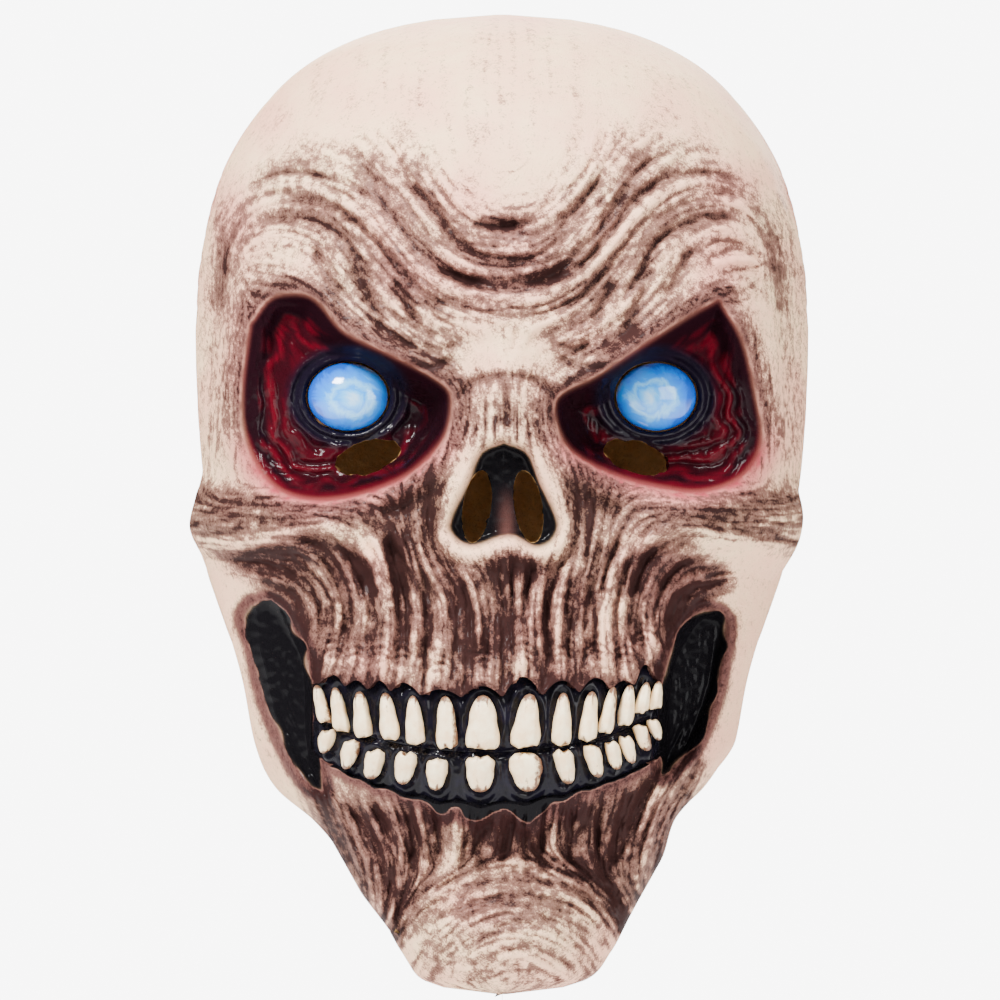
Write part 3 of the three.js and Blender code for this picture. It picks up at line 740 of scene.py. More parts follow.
def worked_head(plain, raised=None):
    """The plain head with the face worked into it, and a relief raised on it where one is given."""
    x, y, z = plain.T
    face = smooth(-y, FACE_START, FACE_FULL)
    front = y.copy()
    for *oval, core, rise, both in RISES:
        part = footprint(x, z, *oval, core=core)
        if both:
            part = np.maximum(part, footprint(-x, z, *oval, core=core))
        front -= rise * part * face
    levels = [
        (socket_share, -80 + 0.22 * (np.abs(x) - 48)),
        (nose_share, np.full(x.shape, -104.0)),
        (hollow_share, np.where(x < 0, -66 - 0.6 * (x + 69), -69 + 0.6 * (x - 61))),
    ]
    for share, level in levels:
        front += read(share, x, z) * np.clip(level - front, 0, 99) * face
    if raised is not None:
        front -= read(raised, x, z) * face
    out = x.copy()
    for *oval, core, push, side in PUSHES:
        here = np.sign(x) if side == 0 else side * (np.sign(x) == side)
        out += here * push * footprint(y, z, *oval, core=core)
    if raised is not None:
        side = smooth(np.abs(x), 40, 70) * (1 - face)
        out += np.sign(x) * side * side_relief(y, z)
    return np.stack([out, front, z], -1)


def side_relief(y, z):
    """Low ripples over the sides of the head, where the face's own lines fade out."""
    return 0.35 * (read(fold, y, z) - 0.6) * smooth(y, -70, -30) * (1 - smooth(y, 20, 80))


def spaced(start, dense_start, dense_end, end, fine, coarse):
    """Values from start to end, closer together between dense_start and dense_end."""
    stretches = [(start, dense_start, coarse), (dense_start, dense_end, fine), (dense_end, end, coarse)]
    parts = []
    for low, high, gap in stretches:
        parts.append(np.linspace(low, high, max(int((high - low) / gap), 2), endpoint=False))
    return np.concatenate([*parts, [end]])


def grid_quads(rows, columns):
    """The quads between the points of a grid, numbered row by row."""
    first = (np.arange(rows - 1)[:, None] * columns + np.arange(columns - 1)[None, :]).ravel()
    return np.stack([first, first + 1, first + columns + 1, first + columns], -1)


RADIUS = 108.0    # about the radius of the head, to turn a gap in mm into an angle


def head_grid(turns, drops, raised, offset):
    """Points of the head, row by row, offset mm inside its outer face, and the quads between them."""
    turn, drop = np.meshgrid(turns, drops)
    points = worked_head(head_points(turn.ravel(), drop.ravel()), raised)
    if offset:
        grid = points.reshape(*turn.shape, 3)
        across = np.gradient(grid, axis=1)
        down = np.gradient(grid, axis=0)
        normal = np.cross(down, across).reshape(-1, 3)
        normal /= np.maximum(np.linalg.norm(normal, axis=-1, keepdims=True), 1e-9)
        points = points - normal * offset
    return points, grid_quads(*turn.shape)[:, [0, 3, 2, 1]]


def new_object(name, mesh, material):
    mesh.materials.append(material)
    piece = bpy.data.objects.new(name, mesh)
    bpy.context.scene.collection.objects.link(piece)
    return piece


def mesh_from(name, points, *groups):
    """A mesh from points in mm and arrays of faces, each array with faces of one size."""
    mesh = bpy.data.meshes.new(name)
    mesh.vertices.add(len(points))
    mesh.vertices.foreach_set("co", (np.asarray(points) * MM).ravel())
    corners = np.concatenate([faces.ravel() for faces in groups])
    sizes = np.concatenate([np.full(len(faces), faces.shape[1]) for faces in groups])
    mesh.loops.add(len(corners))
    mesh.loops.foreach_set("vertex_index", corners.astype(np.int32))
    mesh.polygons.add(len(sizes))
    mesh.polygons.foreach_set("loop_start", (np.cumsum(sizes) - sizes).astype(np.int32))
    mesh.update(calc_edges=True)
    mesh.shade_smooth()
    return mesh


def points_of(mesh):
    """The mesh's points in mm."""
    flat = np.empty(len(mesh.vertices) * 3)
    mesh.vertices.foreach_get("co", flat)
    return flat.reshape(-1, 3) / MM


def set_attribute(mesh, name, values):
    """Stores one number, or one colour, for each vertex."""
    if values.ndim == 1:
        mesh.attributes.new(name, "FLOAT", "POINT").data.foreach_set("value", values)
        return
    data = mesh.color_attributes.new(name, "FLOAT_COLOR", "POINT").data
    data.foreach_set("color", np.concatenate([values, np.ones((len(values), 1))], -1).ravel())


def cut_openings(form):
    """Cuts the openings of the face out of a bmesh, along their exact outlines."""
    form.verts.ensure_lookup_table()
    co = np.array([v.co for v in form.verts]) / MM
    inside = np.where(co[:, 1] < -FACE_FULL, read(openings, co[:, 0], co[:, 2]), -1)
    crossing = [e for e in form.edges if (inside[e.verts[0].index] > 0) != (inside[e.verts[1].index] > 0)]
    new = []
    for edge in crossing:
        a, b = edge.verts
        share = inside[a.index] / (inside[a.index] - inside[b.index])
        new.append(bmesh.utils.edge_split(edge, a, float(np.clip(share, 0.02, 0.98)))[1])
    bmesh.ops.connect_verts(form, verts=new)
    gone = []
    for face in form.faces:
        middle = face.calc_center_median() / MM
        if middle.y < -FACE_FULL and read(openings, np.array([middle.x]), np.array([middle.z]))[0] > 0:
            gone.append(face)
    bmesh.ops.delete(form, geom=gone, context="FACES")


def trim(form, point, normal):
    whole = form.verts[:] + form.edges[:] + form.faces[:]
    bmesh.ops.bisect_plane(form, geom=whole, plane_co=Vector(point) * MM, plane_no=normal, clear_outer=True)


RIM_NORMAL = Vector((0, RIM_NAPE[1] - RIM_FRONT[1], RIM_FRONT[0] - RIM_NAPE[0])).normalized()


def shell(name, turns, drops, trims, raised=None, offset=0.0, lip=0.0, cut=False):
    """Part of the head's surface as a mesh, trimmed at the neck and at y of each trim.

    A trim is a y and 1 to keep what is behind it or -1 to keep what is in front. The lip is the
    depth of the edge that is turned in, or out where it is negative.
    """
    points, quads = head_grid(turns, drops, raised, offset)
    mesh = mesh_from(name, points, quads[:, ::-1] if offset else quads)
    form = bmesh.new()
    form.from_mesh(mesh)
    bmesh.ops.remove_doubles(form, verts=form.verts, dist=0.02 * MM)
    trim(form, (0, *RIM_FRONT), RIM_NORMAL)
    for y, keep in trims:
        trim(form, (0, y, 0), Vector((0, -keep, 0)))
    if cut:
        cut_openings(form)
    if lip:
        form.normal_update()
        edges = [e for e in form.edges if e.is_boundary]
        made = bmesh.ops.extrude_edge_only(form, edges=edges)["geom"]
        for edge in edges:
            edge.smooth = False
        for vert in [v for v in made if isinstance(v, bmesh.types.BMVert)]:
            hold = max((e.other_vert(vert) for e in vert.link_edges), key=lambda v: len(v.link_faces))
            vert.co = hold.co - hold.normal * lip * MM
    form.to_mesh(mesh)
    form.free()
    mesh.update()
    return mesh


def slab(name, front, back):
    """A closed piece between two grids of points, rows by columns."""
    rows, columns = front.shape[:2]
    quads = grid_quads(rows, columns)
    count = rows * columns
    grid = np.arange(count).reshape(rows, columns)
    loop = np.concatenate([grid[0, :-1], grid[:-1, -1], grid[-1, :0:-1], grid[:0:-1, 0]])
    after = np.roll(loop, -1)
    sides = np.stack([loop, loop + count, after + count, after], -1)
    points = np.concatenate([front.reshape(-1, 3), back.reshape(-1, 3)])
    return mesh_from(name, points, np.concatenate([quads, quads[:, ::-1] + count, sides]))


def ball(rows, columns, place):
    """A closed lat-long mesh: place(t, angle) gives points for t from 0 to 1 at its two ends."""
    t, angle = np.meshgrid(np.linspace(0, 1, rows + 1)[1:-1], np.linspace(0, 2 * math.pi, columns + 1)[:-1],
                           indexing="ij")
    ends = place(np.array([0.0, 1.0]), np.array([0.0, 0.0]))
    points = np.concatenate([place(t.ravel(), angle.ravel()), ends])
    grid = np.arange((rows - 1) * columns).reshape(rows - 1, columns)
    right = np.roll(grid, -1, axis=1)
    quads = np.stack([grid[:-1], grid[1:], right[1:], right[:-1]], -1).reshape(-1, 4)
    start, end = len(points) - 2, len(points) - 1
    caps = [(start, a, b) for a, b in zip(grid[0], right[0])]
    caps += [(end, b, a) for a, b in zip(grid[-1], right[-1])]
    return points, quads, np.array(caps)


# ---- materials


def add_node(tree, kind, settings=None, **inputs):
    """A shader node. Inputs are named with _ for a space, and are values or sockets to link."""
    made = tree.nodes.new("ShaderNode" + kind)
    for key, value in (settings or {}).items():
        setattr(made, key, value)
    for key, value in inputs.items():
        socket = made.inputs[int(key[1:])] if key[1:].isdigit() else made.inputs[key.replace("_", " ")]
        if isinstance(value, bpy.types.NodeSocket):
            tree.links.new(value, socket)
        else:
            socket.default_value = value
    return made


def new_material(name, **inputs):
    """A material with one principled shader; returns it, its tree and the shader."""
    material = bpy.data.materials.new(name)
    material.use_nodes = True
    tree = material.node_tree
    tree.nodes.clear()
    shader = add_node(tree, "BsdfPrincipled", **inputs)
    add_node(tree, "OutputMaterial", Surface=shader.outputs[0])
    return material, tree, shader


def grain(tree, scale, detail=4.0, roughness=0.55, distortion=0.0):
    place = add_node(tree, "TexCoord").outputs["Object"]
    return add_node(tree, "TexNoise", Vector=place, Scale=scale, Detail=detail, Roughness=roughness,
                    Distortion=distortion).outputs["Fac"]


def between(tree, value, low, high, to_low=0.0, to_high=1.0):
    return add_node(tree, "MapRange", Value=value, From_Min=low, From_Max=high, To_Min=to_low,
                    To_Max=to_high).outputs[0]


def maths(tree, operation, a, b):
    return add_node(tree, "Math", {"operation": operation}, _0=a, _1=b).outputs[0]


def mixed(tree, amount, a, b):
    """Two colours mixed; each is a socket or a colour of four numbers."""
    return add_node(tree, "Mix", {"data_type": "RGBA"}, _0=amount, _6=a, _7=b).outputs[2]


def mixed_number(tree, amount, a, b):
    return add_node(tree, "Mix", {"data_type": "FLOAT"}, _0=amount, _2=a, _3=b).outputs[0]


def stored(tree, name, output="Fac"):
    """What set_attribute stored on the mesh."""
    return add_node(tree, "Attribute", {"attribute_name": name}).outputs[output]


def link(tree, shader, **sockets):
    for key, socket in sockets.items():
        tree.links.new(socket, shader.inputs[key.replace("_", " ")])


def solid(colour):
    """A display colour, 0 to 255, as a shader reads it."""
    c = np.array(colour) / 255
    return (*np.where(c <= 0.04045, c / 12.92, ((c + 0.055) / 1.055) ** 2.4), 1.0)


def bumped(tree, shader, height, distance_mm, strength=1.0):
    bump = add_node(tree, "Bump", Height=height, Distance=distance_mm * MM, Strength=strength)
    link(tree, shader, Normal=bump.outputs[0])


def painted_latex():
    """Airbrushed latex with a brown wash, which is broken up as a dry brush leaves it; in the creases the
    wash is partly painted shade.
    """
    material, tree, shader = new_material("painted_latex", Specular_IOR_Level=0.0, Coat_Roughness=0.16,
                                          Coat_IOR=1.3)
    wash_and_shade = stored(tree, "wash_and_shade")
    coarse = between(tree, grain(tree, 420, 6, 0.7), 0.3, 0.7, -0.22, 0.22)
    fine = between(tree, grain(tree, 1500, 5, 0.75), 0.3, 0.7, -0.3, 0.3)
    broken = maths(tree, "ADD", wash_and_shade, maths(tree, "ADD", coarse, fine))
    bare = between(tree, wash_and_shade, -0.6, 0.0)
    pinker = maths(tree, "MULTIPLY", bare, between(tree, grain(tree, 200, 5), 0.35, 0.65, 0.0, 0.3))
    lit = mixed(tree, pinker, stored(tree, "paint", "Color"), (*PINK, 1))
    toned = mixed(tree, between(tree, broken, 0.16, 0.52, 0.0, 0.9), lit, (*MAUVE, 1))
    deep = mixed(tree, between(tree, broken, 0.6, 1.1, 0.0, 0.95), toned, (*UMBER, 1))
    roughness = between(tree, grain(tree, 700), 0.2, 0.8, 0.46, 0.66)
    link(tree, shader, Base_Color=deep, Roughness=roughness, Coat_Weight=stored(tree, "gloss"))
    height = maths(tree, "ADD", grain(tree, 700, 6, 0.75), grain(tree, 2600, 2, 0.5))
    bumped(tree, shader, height, 0.5, 0.8)
    return material


def raw_latex():
    """Bare latex inside the mask: tan, cloudy and slightly tacky."""
    material, tree, shader = new_material("raw_latex", Roughness=0.6, Specular_IOR_Level=0.2)
    cloud = between(tree, grain(tree, 60, 5), 0.3, 0.7)
    base = mixed(tree, cloud, solid((150, 112, 66)), solid((178, 138, 90)))
    pores = between(tree, grain(tree, 1300, 3), 0.55, 0.75, 0.0, 0.5)
    link(tree, shader, Base_Color=mixed(tree, pores, base, solid((112, 78, 42))))
    bumped(tree, shader, grain(tree, 500, 6, 0.7), 0.5)
    return material


def eye_paint():
    """Glossy sky-blue paint with a pale swirl round its middle."""
    material, tree, shader = new_material("eye_paint", Roughness=0.12, Coat_Weight=0.6, Coat_Roughness=0.04)
    swirl = between(tree, grain(tree, 130, 4, 0.6, 1.2), 0.3, 0.7, -0.16, 0.16)
    ramp = add_node(tree, "ValToRGB", Fac=maths(tree, "ADD", stored(tree, "out"), swirl))
    stops = [(0.0, (165, 208, 242)), (0.22, (84, 178, 245)), (0.36, (30, 145, 238)), (0.5, (112, 192, 245)),
             (0.66, (24, 136, 234)), (0.9, (8, 108, 222)), (1.0, (5, 80, 185))]
    elements = ramp.color_ramp.elements
    elements[0].position, elements[0].color = stops[0][0], solid(stops[0][1])
    elements[1].position, elements[1].color = stops[-1][0], solid(stops[-1][1])
    for position, colour in stops[1:-1]:
        elements.new(position).color = solid(colour)
    link(tree, shader, Base_Color=ramp.outputs[0])
    bumped(tree, shader, grain(tree, 260, 4), 0.25, 0.5)
    return material


def gum_lacquer():
    """Black wet-look lacquer over rough latex."""
    material, tree, shader = new_material("gum_lacquer", Specular_IOR_Level=0.0, Coat_Weight=0.6,
                                          Coat_Roughness=0.1, Coat_IOR=1.3)
    cloud = between(tree, grain(tree, 240, 5), 0.35, 0.7, 0.0, 1.0)
    roughness = between(tree, grain(tree, 500), 0.3, 0.7, 0.14, 0.34)
    link(tree, shader, Base_Color=mixed(tree, cloud, (*BLACK, 1), (*NAVY, 1)), Roughness=roughness)
    bumped(tree, shader, grain(tree, 420, 4, 0.5), 0.4)
    return material


def tooth_enamel():
    """Cream enamel, brown in its pits and round its root and edges."""
    material, tree, shader = new_material("tooth_enamel", Specular_IOR_Level=0.3)
    cloud = between(tree, grain(tree, 330, 5), 0.35, 0.65)
    base = mixed(tree, cloud, ENAMEL_DARK, ENAMEL)
    uneven = between(tree, grain(tree, 700, 5, 0.7), 0.3, 0.75, -0.35, 0.4)
    spots = between(tree, maths(tree, "ADD", stored(tree, "stain"), uneven), 0.26, 0.62, 0.0, 0.92)
    roughness = between(tree, grain(tree, 600), 0.2, 0.8, 0.2, 0.42)
    link(tree, shader, Base_Color=mixed(tree, spots, base, solid((92, 52, 36))), Roughness=roughness)
    bumped(tree, shader, grain(tree, 800, 5, 0.6), 0.2, 0.6)
    return material


def seam_cloth():
    """Plain-weave cloth soaked in latex."""
    material, tree, shader = new_material("seam_cloth", Roughness=0.75)
    place = add_node(tree, "TexCoord").outputs["Object"]
    warp, weft = (
        add_node(tree, "TexWave", {"bands_direction": way}, Vector=place, Scale=220.0, Distortion=1.5)
        for way in "ZY"
    )
    weave = maths(tree, "MULTIPLY", warp.outputs["Fac"], weft.outputs["Fac"])
    soaked = between(tree, grain(tree, 120, 5), 0.3, 0.7)
    base = mixed(tree, soaked, solid((170, 132, 88)), solid((196, 164, 120)))
    link(tree, shader, Base_Color=mixed(tree, weave, base, solid((120, 88, 54))))
    bumped(tree, shader, weave, 0.35)
    return material


# ---- the face and the back


def put_on(name, mesh, material, node):
    """Puts the mesh on the mask as a piece, in place of a node of the frame."""
    piece = new_object(name, mesh, material)
    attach(piece, "root")
    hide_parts(node)


DETAIL = 0.55          # mm between points on the face
SIDE_DETAIL = 1.5
latex = painted_latex()
raw = raw_latex()
soft_relief = np.minimum(blur(relief, 2.2) - 0.9, relief)


def paint_skin(mesh, across, on_face):
    """Paints a skin: the plain skin's paint is read at across, and the face's comes in with on_face."""
    x, y, z = points_of(mesh).T
    cloud = read(patchy, across, z)
    # The plain skin's wash gathers in the valleys of the streaks, partly as paint and partly as painted
    # shade.
    streaks = 0.3 * read(stria_valley, across, z) + 0.35 * read(scratch, across, z)
    plain_wash_and_shade = 0.04 + (streaks + 0.06 * cloud) * (1 - smooth(z, -60, -15)) + 0.03 * read(blotch, across, z)
    colour = flesh(0.2 + 0.2 * cloud, cloud)
    front = np.stack([read(face_paint[..., k], x, z) for k in range(3)], -1)
    set_attribute(mesh, "paint", colour + (front - colour) * on_face[:, None])
    set_attribute(mesh, "wash_and_shade", plain_wash_and_shade + (read(wash_and_shade, x, z) - plain_wash_and_shade) * on_face)
    set_attribute(mesh, "gloss", 0.1 + (read(face_gloss, x, z) - 0.1) * on_face)


top_drop = 0.02
bottom_drop = HEIGHT - top_drop
face_drops = spaced(top_drop, 34, 296, bottom_drop, DETAIL, SIDE_DETAIL)
back_drops = spaced(top_drop, 34, 296, bottom_drop, 1.3, 1.6)
inner_drops = spaced(top_drop, 34, 296, bottom_drop, 1.8, 3)
# Low on the head the middle of a section is well forward, so the face's turns go far round.
FACE_TURN = 2.75
face_turns = spaced(-FACE_TURN, -0.98, 0.98, FACE_TURN, DETAIL / RADIUS, SIDE_DETAIL / RADIUS)
inner_turns = spaced(-FACE_TURN, -1.0, 1.0, FACE_TURN, 1.6 / RADIUS, 3 / RADIUS)
BACK_FROM, BACK_TO = math.pi / 2 - 0.25, 3 * math.pi / 2 + 0.25
back_turns = np.linspace(BACK_FROM, BACK_TO, 260)
inner_back_turns = np.linspace(BACK_FROM, BACK_TO, 120)
in_front = [(SEAM_Y - GAP / 2, -1)]
behind = [(SEAM_Y + GAP / 2, 1)]

face = shell("face_outside", face_turns, face_drops, in_front, relief, lip=SKIN, cut=True)
x, y, z = points_of(face).T
paint_skin(face, y, smooth(-y, 2, FACE_FULL))
put_on("face_outside", face, latex, "face_skin")

back = shell("back_outside", back_turns, back_drops, behind, relief, lip=SKIN)
x, y, z = points_of(back).T
paint_skin(back, np.arctan2(x, y) * 60, np.zeros(len(x)))
put_on("back_outside", back, latex, "back_skin")

face_in = shell("face_inside", inner_turns, inner_drops, in_front, soft_relief, SKIN, cut=True)
put_on("face_inside", face_in, raw, "face_skin")
back_in = shell("back_inside", inner_back_turns, inner_drops, behind, None, SKIN)
put_on("back_inside", back_in, raw, "back_skin")

TAPE_WIDTH, TAPE_THICKNESS = 22, 1.2
all_turns = np.linspace(-math.pi, math.pi, 300)
tape_trims = [(SEAM_Y - TAPE_WIDTH / 2, 1), (SEAM_Y + TAPE_WIDTH / 2, -1)]
tape = shell("seam_tape_cloth", all_turns, inner_drops, tape_trims, None, SKIN + GAP + TAPE_THICKNESS,
             lip=-TAPE_THICKNESS)
put_on("seam_tape_cloth", tape, seam_cloth(), "seam_tape")

# ---- teeth and gums

ENAMEL = (0.93, 0.77, 0.50, 1)
ENAMEL_DARK = (0.82, 0.58, 0.33, 1)
enamel = tooth_enamel()
lacquer = gum_lacquer()


def node_box(node):
    low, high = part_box(node)
    return np.array(low) / MM, np.array(high) / MM


def front_of_face():
    """y of the worked head, without its creases, over the fine grid."""
    drop = np.clip(CROWN_Z - GZ, 1, HEIGHT - 1)
    width, centre = section(1, drop), section(4, drop)
    n = section(5, drop)
    y = centre - (centre - section(2, drop)) * (1 - np.clip(np.abs(GX) / width, 0, 0.999) ** n) ** (1 / n)
    points = worked_head(np.stack([GX.ravel(), y.ravel(), GZ.ravel()], -1))
    return points[:, 1].reshape(GX.shape)


teeth = [(f"upper_tooth_{i}", True) for i in range(1, 15)]
teeth += [(f"lower_tooth_{i}", False) for i in range(1, 14)]
tooth_boxes = {name: node_box(name) for name, _ in teeth}
gum_y = front_of_face() + SKIN + GAP
collar = np.zeros(GX.shape)
for name, upper in teeth:
    low, high = tooth_boxes[name]
    middle, half = (low + high) / 2, (high - low) / 2
    out = np.hypot((GX - middle[0]) / (half[0] + 0.4), (GZ - middle[2]) / (half[2] + 0.2)) - 1
    out_mm = out * math.sqrt(half[0] * half[2])
    collar = np.maximum(collar, 0.9 * bell(out_mm, 1.4, 1.1))
    if not upper:
        collar = np.maximum(collar, 0.7 * bell(out_mm, 4.0, 0.9) * smooth(-GZ, 226, 232))
inside_mouth = smooth(mouth_in, -0.8, 1.2)
gum_y -= (collar + 0.3 * strand * smooth(mouth_in, 0, 3) + 0.05 * speck) * inside_mouth
gum_y += 1.6 * bell(GZ, bite_at(GX), 1.3) * inside_mouth


GUM_THICKNESS = 3.0
GUM_HIDDEN = 3.5      # how far a gum reaches behind the edge of the mouth
TOOTH_DEPTH = 5.4
TOOTH_ROWS, TOOTH_COLUMNS = 34, 36


def gum(name, node, low_z, high_z, rows):
    """A gum strip between two lines, each z as a function of x."""
    x = np.linspace(-62.5, 52.5, 300)
    t = np.linspace(0, 1, rows)[:, None]
    z = low_z(x) + (high_z(x) - low_z(x)) * t
    x = np.broadcast_to(x, z.shape)
    front = np.stack([x, read(gum_y, x, z), z], -1)
    back = front + np.array([0, GUM_THICKNESS, 0])
    put_on(name, slab(name, front, back), lacquer, node)


gum("upper_gum_sculpted", "upper_gum", bite_at, lambda x: np.interp(x, GX[0], top_edge) + GUM_HIDDEN, 70)
gum("lower_gum_sculpted", "lower_gum", lambda x: np.interp(x, GX[0], bottom_edge) - GUM_HIDDEN, bite_at, 60)


def tooth(name, upper, index):
    """One tooth, from its root at t 0 to its biting edge at t 1."""
    low, high = tooth_boxes[name]
    middle, width, height = (low + high) / 2, 1.16 * (high[0] - low[0]), 1.02 * (high[2] - low[2])
    lean = rng.uniform(-0.05, 0.05) + (0.004 * (middle[0] + 5) if upper else -0.006 * (middle[0] + 5))
    nick_at, nick = rng.uniform(-0.7, 0.7), rng.uniform(0.1, 0.9)
    narrow = rng.uniform(0.46, 0.6) if upper else rng.uniform(0.6, 0.8)
    ripple = rng.uniform(0, 6.28, 3)

    def place(t, angle):
        end = np.clip(1 - np.abs(2 * t - 1) ** np.where(t > 0.5, 8.0, 3.6), 0, 1) ** 0.45
        if upper:
            taper = narrow + (1 - narrow) * smooth(t, -0.2, 1.0)
        else:
            taper = 1 - (1 - narrow) * smooth(1 - t, 0.35, 1.0) - 0.1 * smooth(t, 0.8, 1)
        c, s = np.cos(angle), np.sin(angle)
        side = np.sign(c) * np.abs(c) ** 0.8
        wavy = 1 + 0.03 * np.sin(9 * t + ripple[0]) + 0.02 * np.sin(17 * t + ripple[1])
        x = width / 2 * taper * end * side * wavy
        bulge = np.where(s > 0, np.abs(s) ** 0.75, -0.25 * np.abs(s))
        y = high[1] - GAP - TOOTH_DEPTH * end**0.7 * bulge * (0.72 + 0.28 * smooth(t, 0, 0.7))
        y += 0.16 * np.cos(x * 3.3 + ripple[2]) * smooth(s, 0, 0.5)
        up = (0.5 - t) * height
        up += nick * bell(x / (width / 2), nick_at, 0.22) * smooth(t, 0.82, 0.98)
        up += 0.35 * np.sin(x * 2.1 + ripple[1]) * smooth(t, 0.8, 1)
        z = up if upper else -up
        return np.stack([middle[0] + x + lean * z, y, middle[2] + z], -1)

    points, quads, caps = ball(TOOTH_ROWS, TOOTH_COLUMNS, place)
    mesh = mesh_from(name, points, quads, caps)
    t = np.concatenate([np.repeat(np.linspace(0, 1, TOOTH_ROWS + 1)[1:-1], TOOTH_COLUMNS), [0, 1]])
    from_middle = points[:, 0] - middle[0]
    edge = np.abs(from_middle - lean * (points[:, 2] - middle[2])) / (width / 2)
    stain = 0.75 * (1 - smooth(t, 0.02, 0.22)) + 0.35 * smooth(edge, 0.75, 1.0) + 0.25 * smooth(t, 0.93, 1.0)
    stain += 0.9 * nick * bell(from_middle / (width / 2), nick_at, 0.16) * smooth(t, 0.86, 0.97)
    crack = smooth(np.cos(2.4 * points[:, 0] + ripple[2]), 0.75, 1.0)
    stain += 0.5 * crack * (1 - smooth(t, 0.2, 0.55)) + 0.3 * crack * smooth(t, 0.7, 0.9)
    if index % 5 == 0:
        stain += 0.6 * smooth(from_middle, 0.12 * width, 0.4 * width)
    set_attribute(mesh, "stain", stain)
    put_on(f"{name}_shaped", mesh, enamel, name)


for index, (name, upper) in enumerate(teeth):
    tooth(name, upper, index)

# ---- eyes

eye_material = eye_paint()
EYE_TILT = 0.22       # slope of the socket's floor
DOME_RISE, DOME_ROOT = 7.5, 11.0     # how far a dome stands out of its base, and reaches behind it


def eye(side_name, side):
    """A glossy dome in its hole, which a latex patch holds from behind."""
    low, _ = node_box(f"eye_dome_{side_name}")
    axis = np.array([side * EYE_TILT, -1, 0]) / math.hypot(EYE_TILT, 1)
    across = np.array([-axis[1], axis[0], 0])
    base = np.array([side * EYE_X, low[1] + DOME_RISE, EYE_Z])

    def place(t, angle):
        lift = (1 - t) * math.pi / 2 * 1.32 - 0.32 * math.pi / 2
        out, rise = np.cos(lift), np.where(lift > 0, DOME_RISE, DOME_ROOT) * np.sin(lift)
        point = base + np.outer(EYE_RADIUS[0] * out * np.cos(angle), across)
        point += np.outer(EYE_RADIUS[1] * out * np.sin(angle), [0, 0, 1])
        return point + np.outer(rise, axis)

    points, quads, caps = ball(40, 64, place)
    mesh = mesh_from("eye", points, quads[:, ::-1], caps[:, ::-1])
    gaze = np.array([side * (EYE_X - 1.5), 0, EYE_Z - 0.5])
    out = np.hypot((points[:, 0] - gaze[0]) / EYE_RADIUS[0], (points[:, 2] - gaze[2]) / EYE_RADIUS[1])
    set_attribute(mesh, "out", out)
    put_on(f"eye_dome_{side_name}_painted", mesh, eye_material, f"eye_dome_{side_name}")


PATCH_THICKNESS = 1.3


def eye_patch(side_name, side):
    """A patch of latex torn from a sheet, with an uneven edge."""
    node = f"eye_patch_{side_name}"
    low, high = node_box(node)
    middle, half = (low + high) / 2, (high - low) / 2
    share, angle = np.meshgrid(np.linspace(0.02, 1, 14), np.linspace(0, 2 * math.pi, 73))
    uneven = 1 + 0.025 * np.sin(5 * angle) + 0.02 * np.sin(11 * angle + 1)
    x = half[0] * 0.95 * share * uneven * np.cos(angle)
    z = half[2] * 0.95 * share * uneven * np.sin(angle)
    y = middle[1] - 0.6 + side * EYE_TILT * x + 0.35 * np.sin(9 * angle) * share**3
    front = np.stack([middle[0] + x, y, middle[2] + z], -1)
    mesh = slab(node, front, front + np.array([0, PATCH_THICKNESS, 0]))
    put_on(f"{node}_latex", mesh, raw, node)


for side_name, side in (("right", -1), ("left", 1)):
    eye(side_name, side)
    eye_patch(side_name, side)

# ---- stage, light and camera

FLOOR_Z = -0.40
FLOOR_RADIUS = 4.0
FLOOR_SIDES = 96


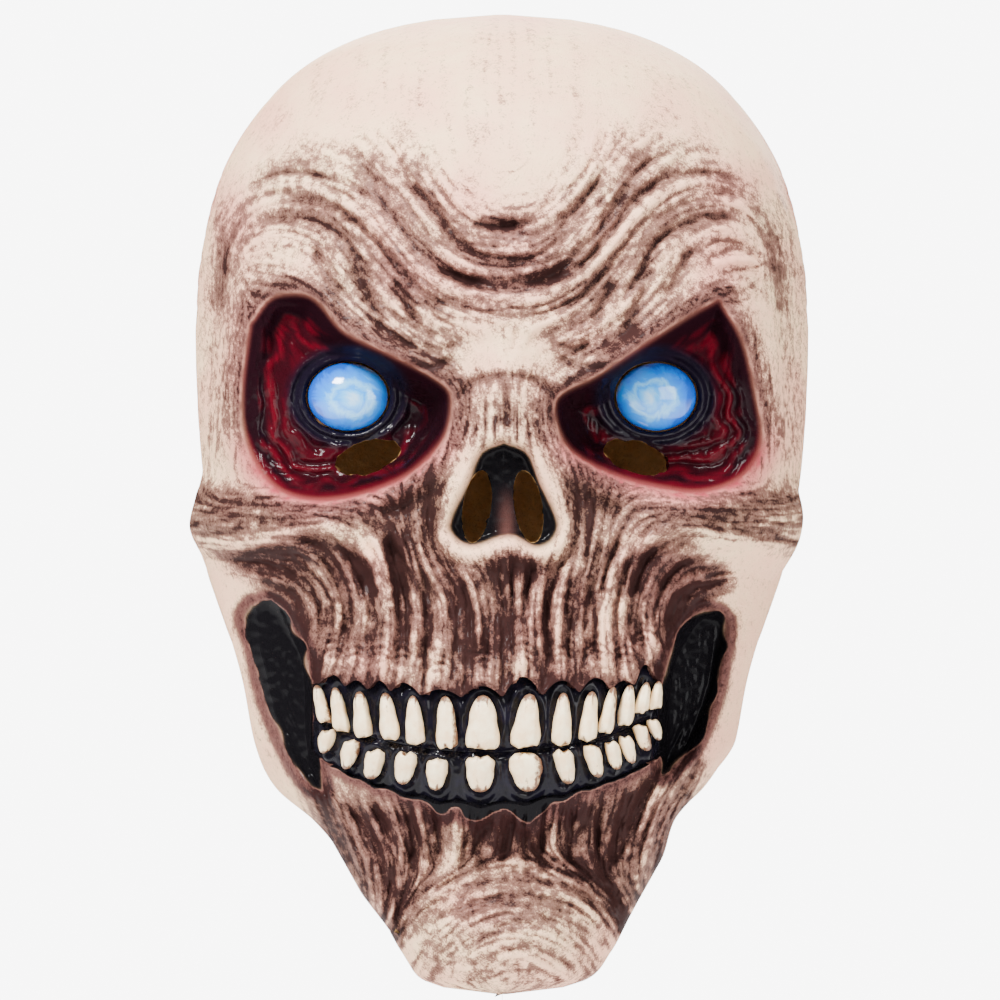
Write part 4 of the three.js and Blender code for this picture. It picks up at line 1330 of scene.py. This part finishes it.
def stage():
    """A round pale floor under a white sky, which lights the mask less than it shows."""
    floor_material, tree, shader = new_material("floor", Roughness=0.8)
    shade = between(tree, grain(tree, 3.0), 0.2, 0.8)
    link(tree, shader, Base_Color=mixed(tree, shade, (0.86, 0.86, 0.86, 1), (0.9, 0.9, 0.9, 1)))
    angle = np.linspace(0, 2 * math.pi, FLOOR_SIDES + 1)[:-1]
    x, y = FLOOR_RADIUS * np.cos(angle), FLOOR_RADIUS * np.sin(angle)
    rim = np.stack([x, y, np.full(FLOOR_SIDES, FLOOR_Z)], -1) / MM
    new_object("floor", mesh_from("floor", rim, np.arange(FLOOR_SIDES)[None, :]), floor_material)
    world = bpy.data.worlds.new("studio")
    bpy.context.scene.world = world
    world.use_nodes = True
    tree = world.node_tree
    tree.nodes.clear()
    rays = add_node(tree, "LightPath").outputs
    lighting = mixed_number(tree, rays["Is Glossy Ray"], 0.66, 0.2)
    strength = mixed_number(tree, rays["Is Camera Ray"], lighting, 8.0)
    sky = add_node(tree, "Background", Color=(1, 1, 1, 1), Strength=strength)
    add_node(tree, "OutputWorld", Surface=sky.outputs[0])


def soft_light(name, place, size, power):
    data = bpy.data.lights.new(name, "AREA")
    data.shape = "SQUARE"
    data.size = size
    data.energy = power
    light = bpy.data.objects.new(name, data)
    light.location = place
    aim = Vector((0, -0.03, -0.15)) - Vector(place)
    light.rotation_euler = aim.to_track_quat("-Z", "Y").to_euler()
    bpy.context.scene.collection.objects.link(light)


VIEW_WIDTH = 0.3061        # width of the picture at the mask
VIEW_DISTANCE = 8.0
MIDDLE_OF_MASK = 0.05      # how far the middle of its depth is in front of the origin
SENSOR = 36.0


def camera():
    data = bpy.data.cameras.new("camera")
    data.sensor_width = SENSOR
    data.lens = SENSOR * (VIEW_DISTANCE - MIDDLE_OF_MASK) / VIEW_WIDTH
    viewer = bpy.data.objects.new("camera", data)
    viewer.location = (-0.0006, -VIEW_DISTANCE, -0.147)
    viewer.rotation_euler = (math.pi / 2, 0, 0)
    bpy.context.scene.collection.objects.link(viewer)
    bpy.context.scene.camera = viewer


stage()
soft_light("key", (-0.75, -0.9, 0.8), 0.4, 56)
soft_light("fill", (0.9, -1.2, 0.1), 0.8, 16)
soft_light("top", (0.1, -0.35, 1.1), 0.5, 32)
soft_light("back", (0.2, 1.3, 0.5), 0.9, 24)
camera()
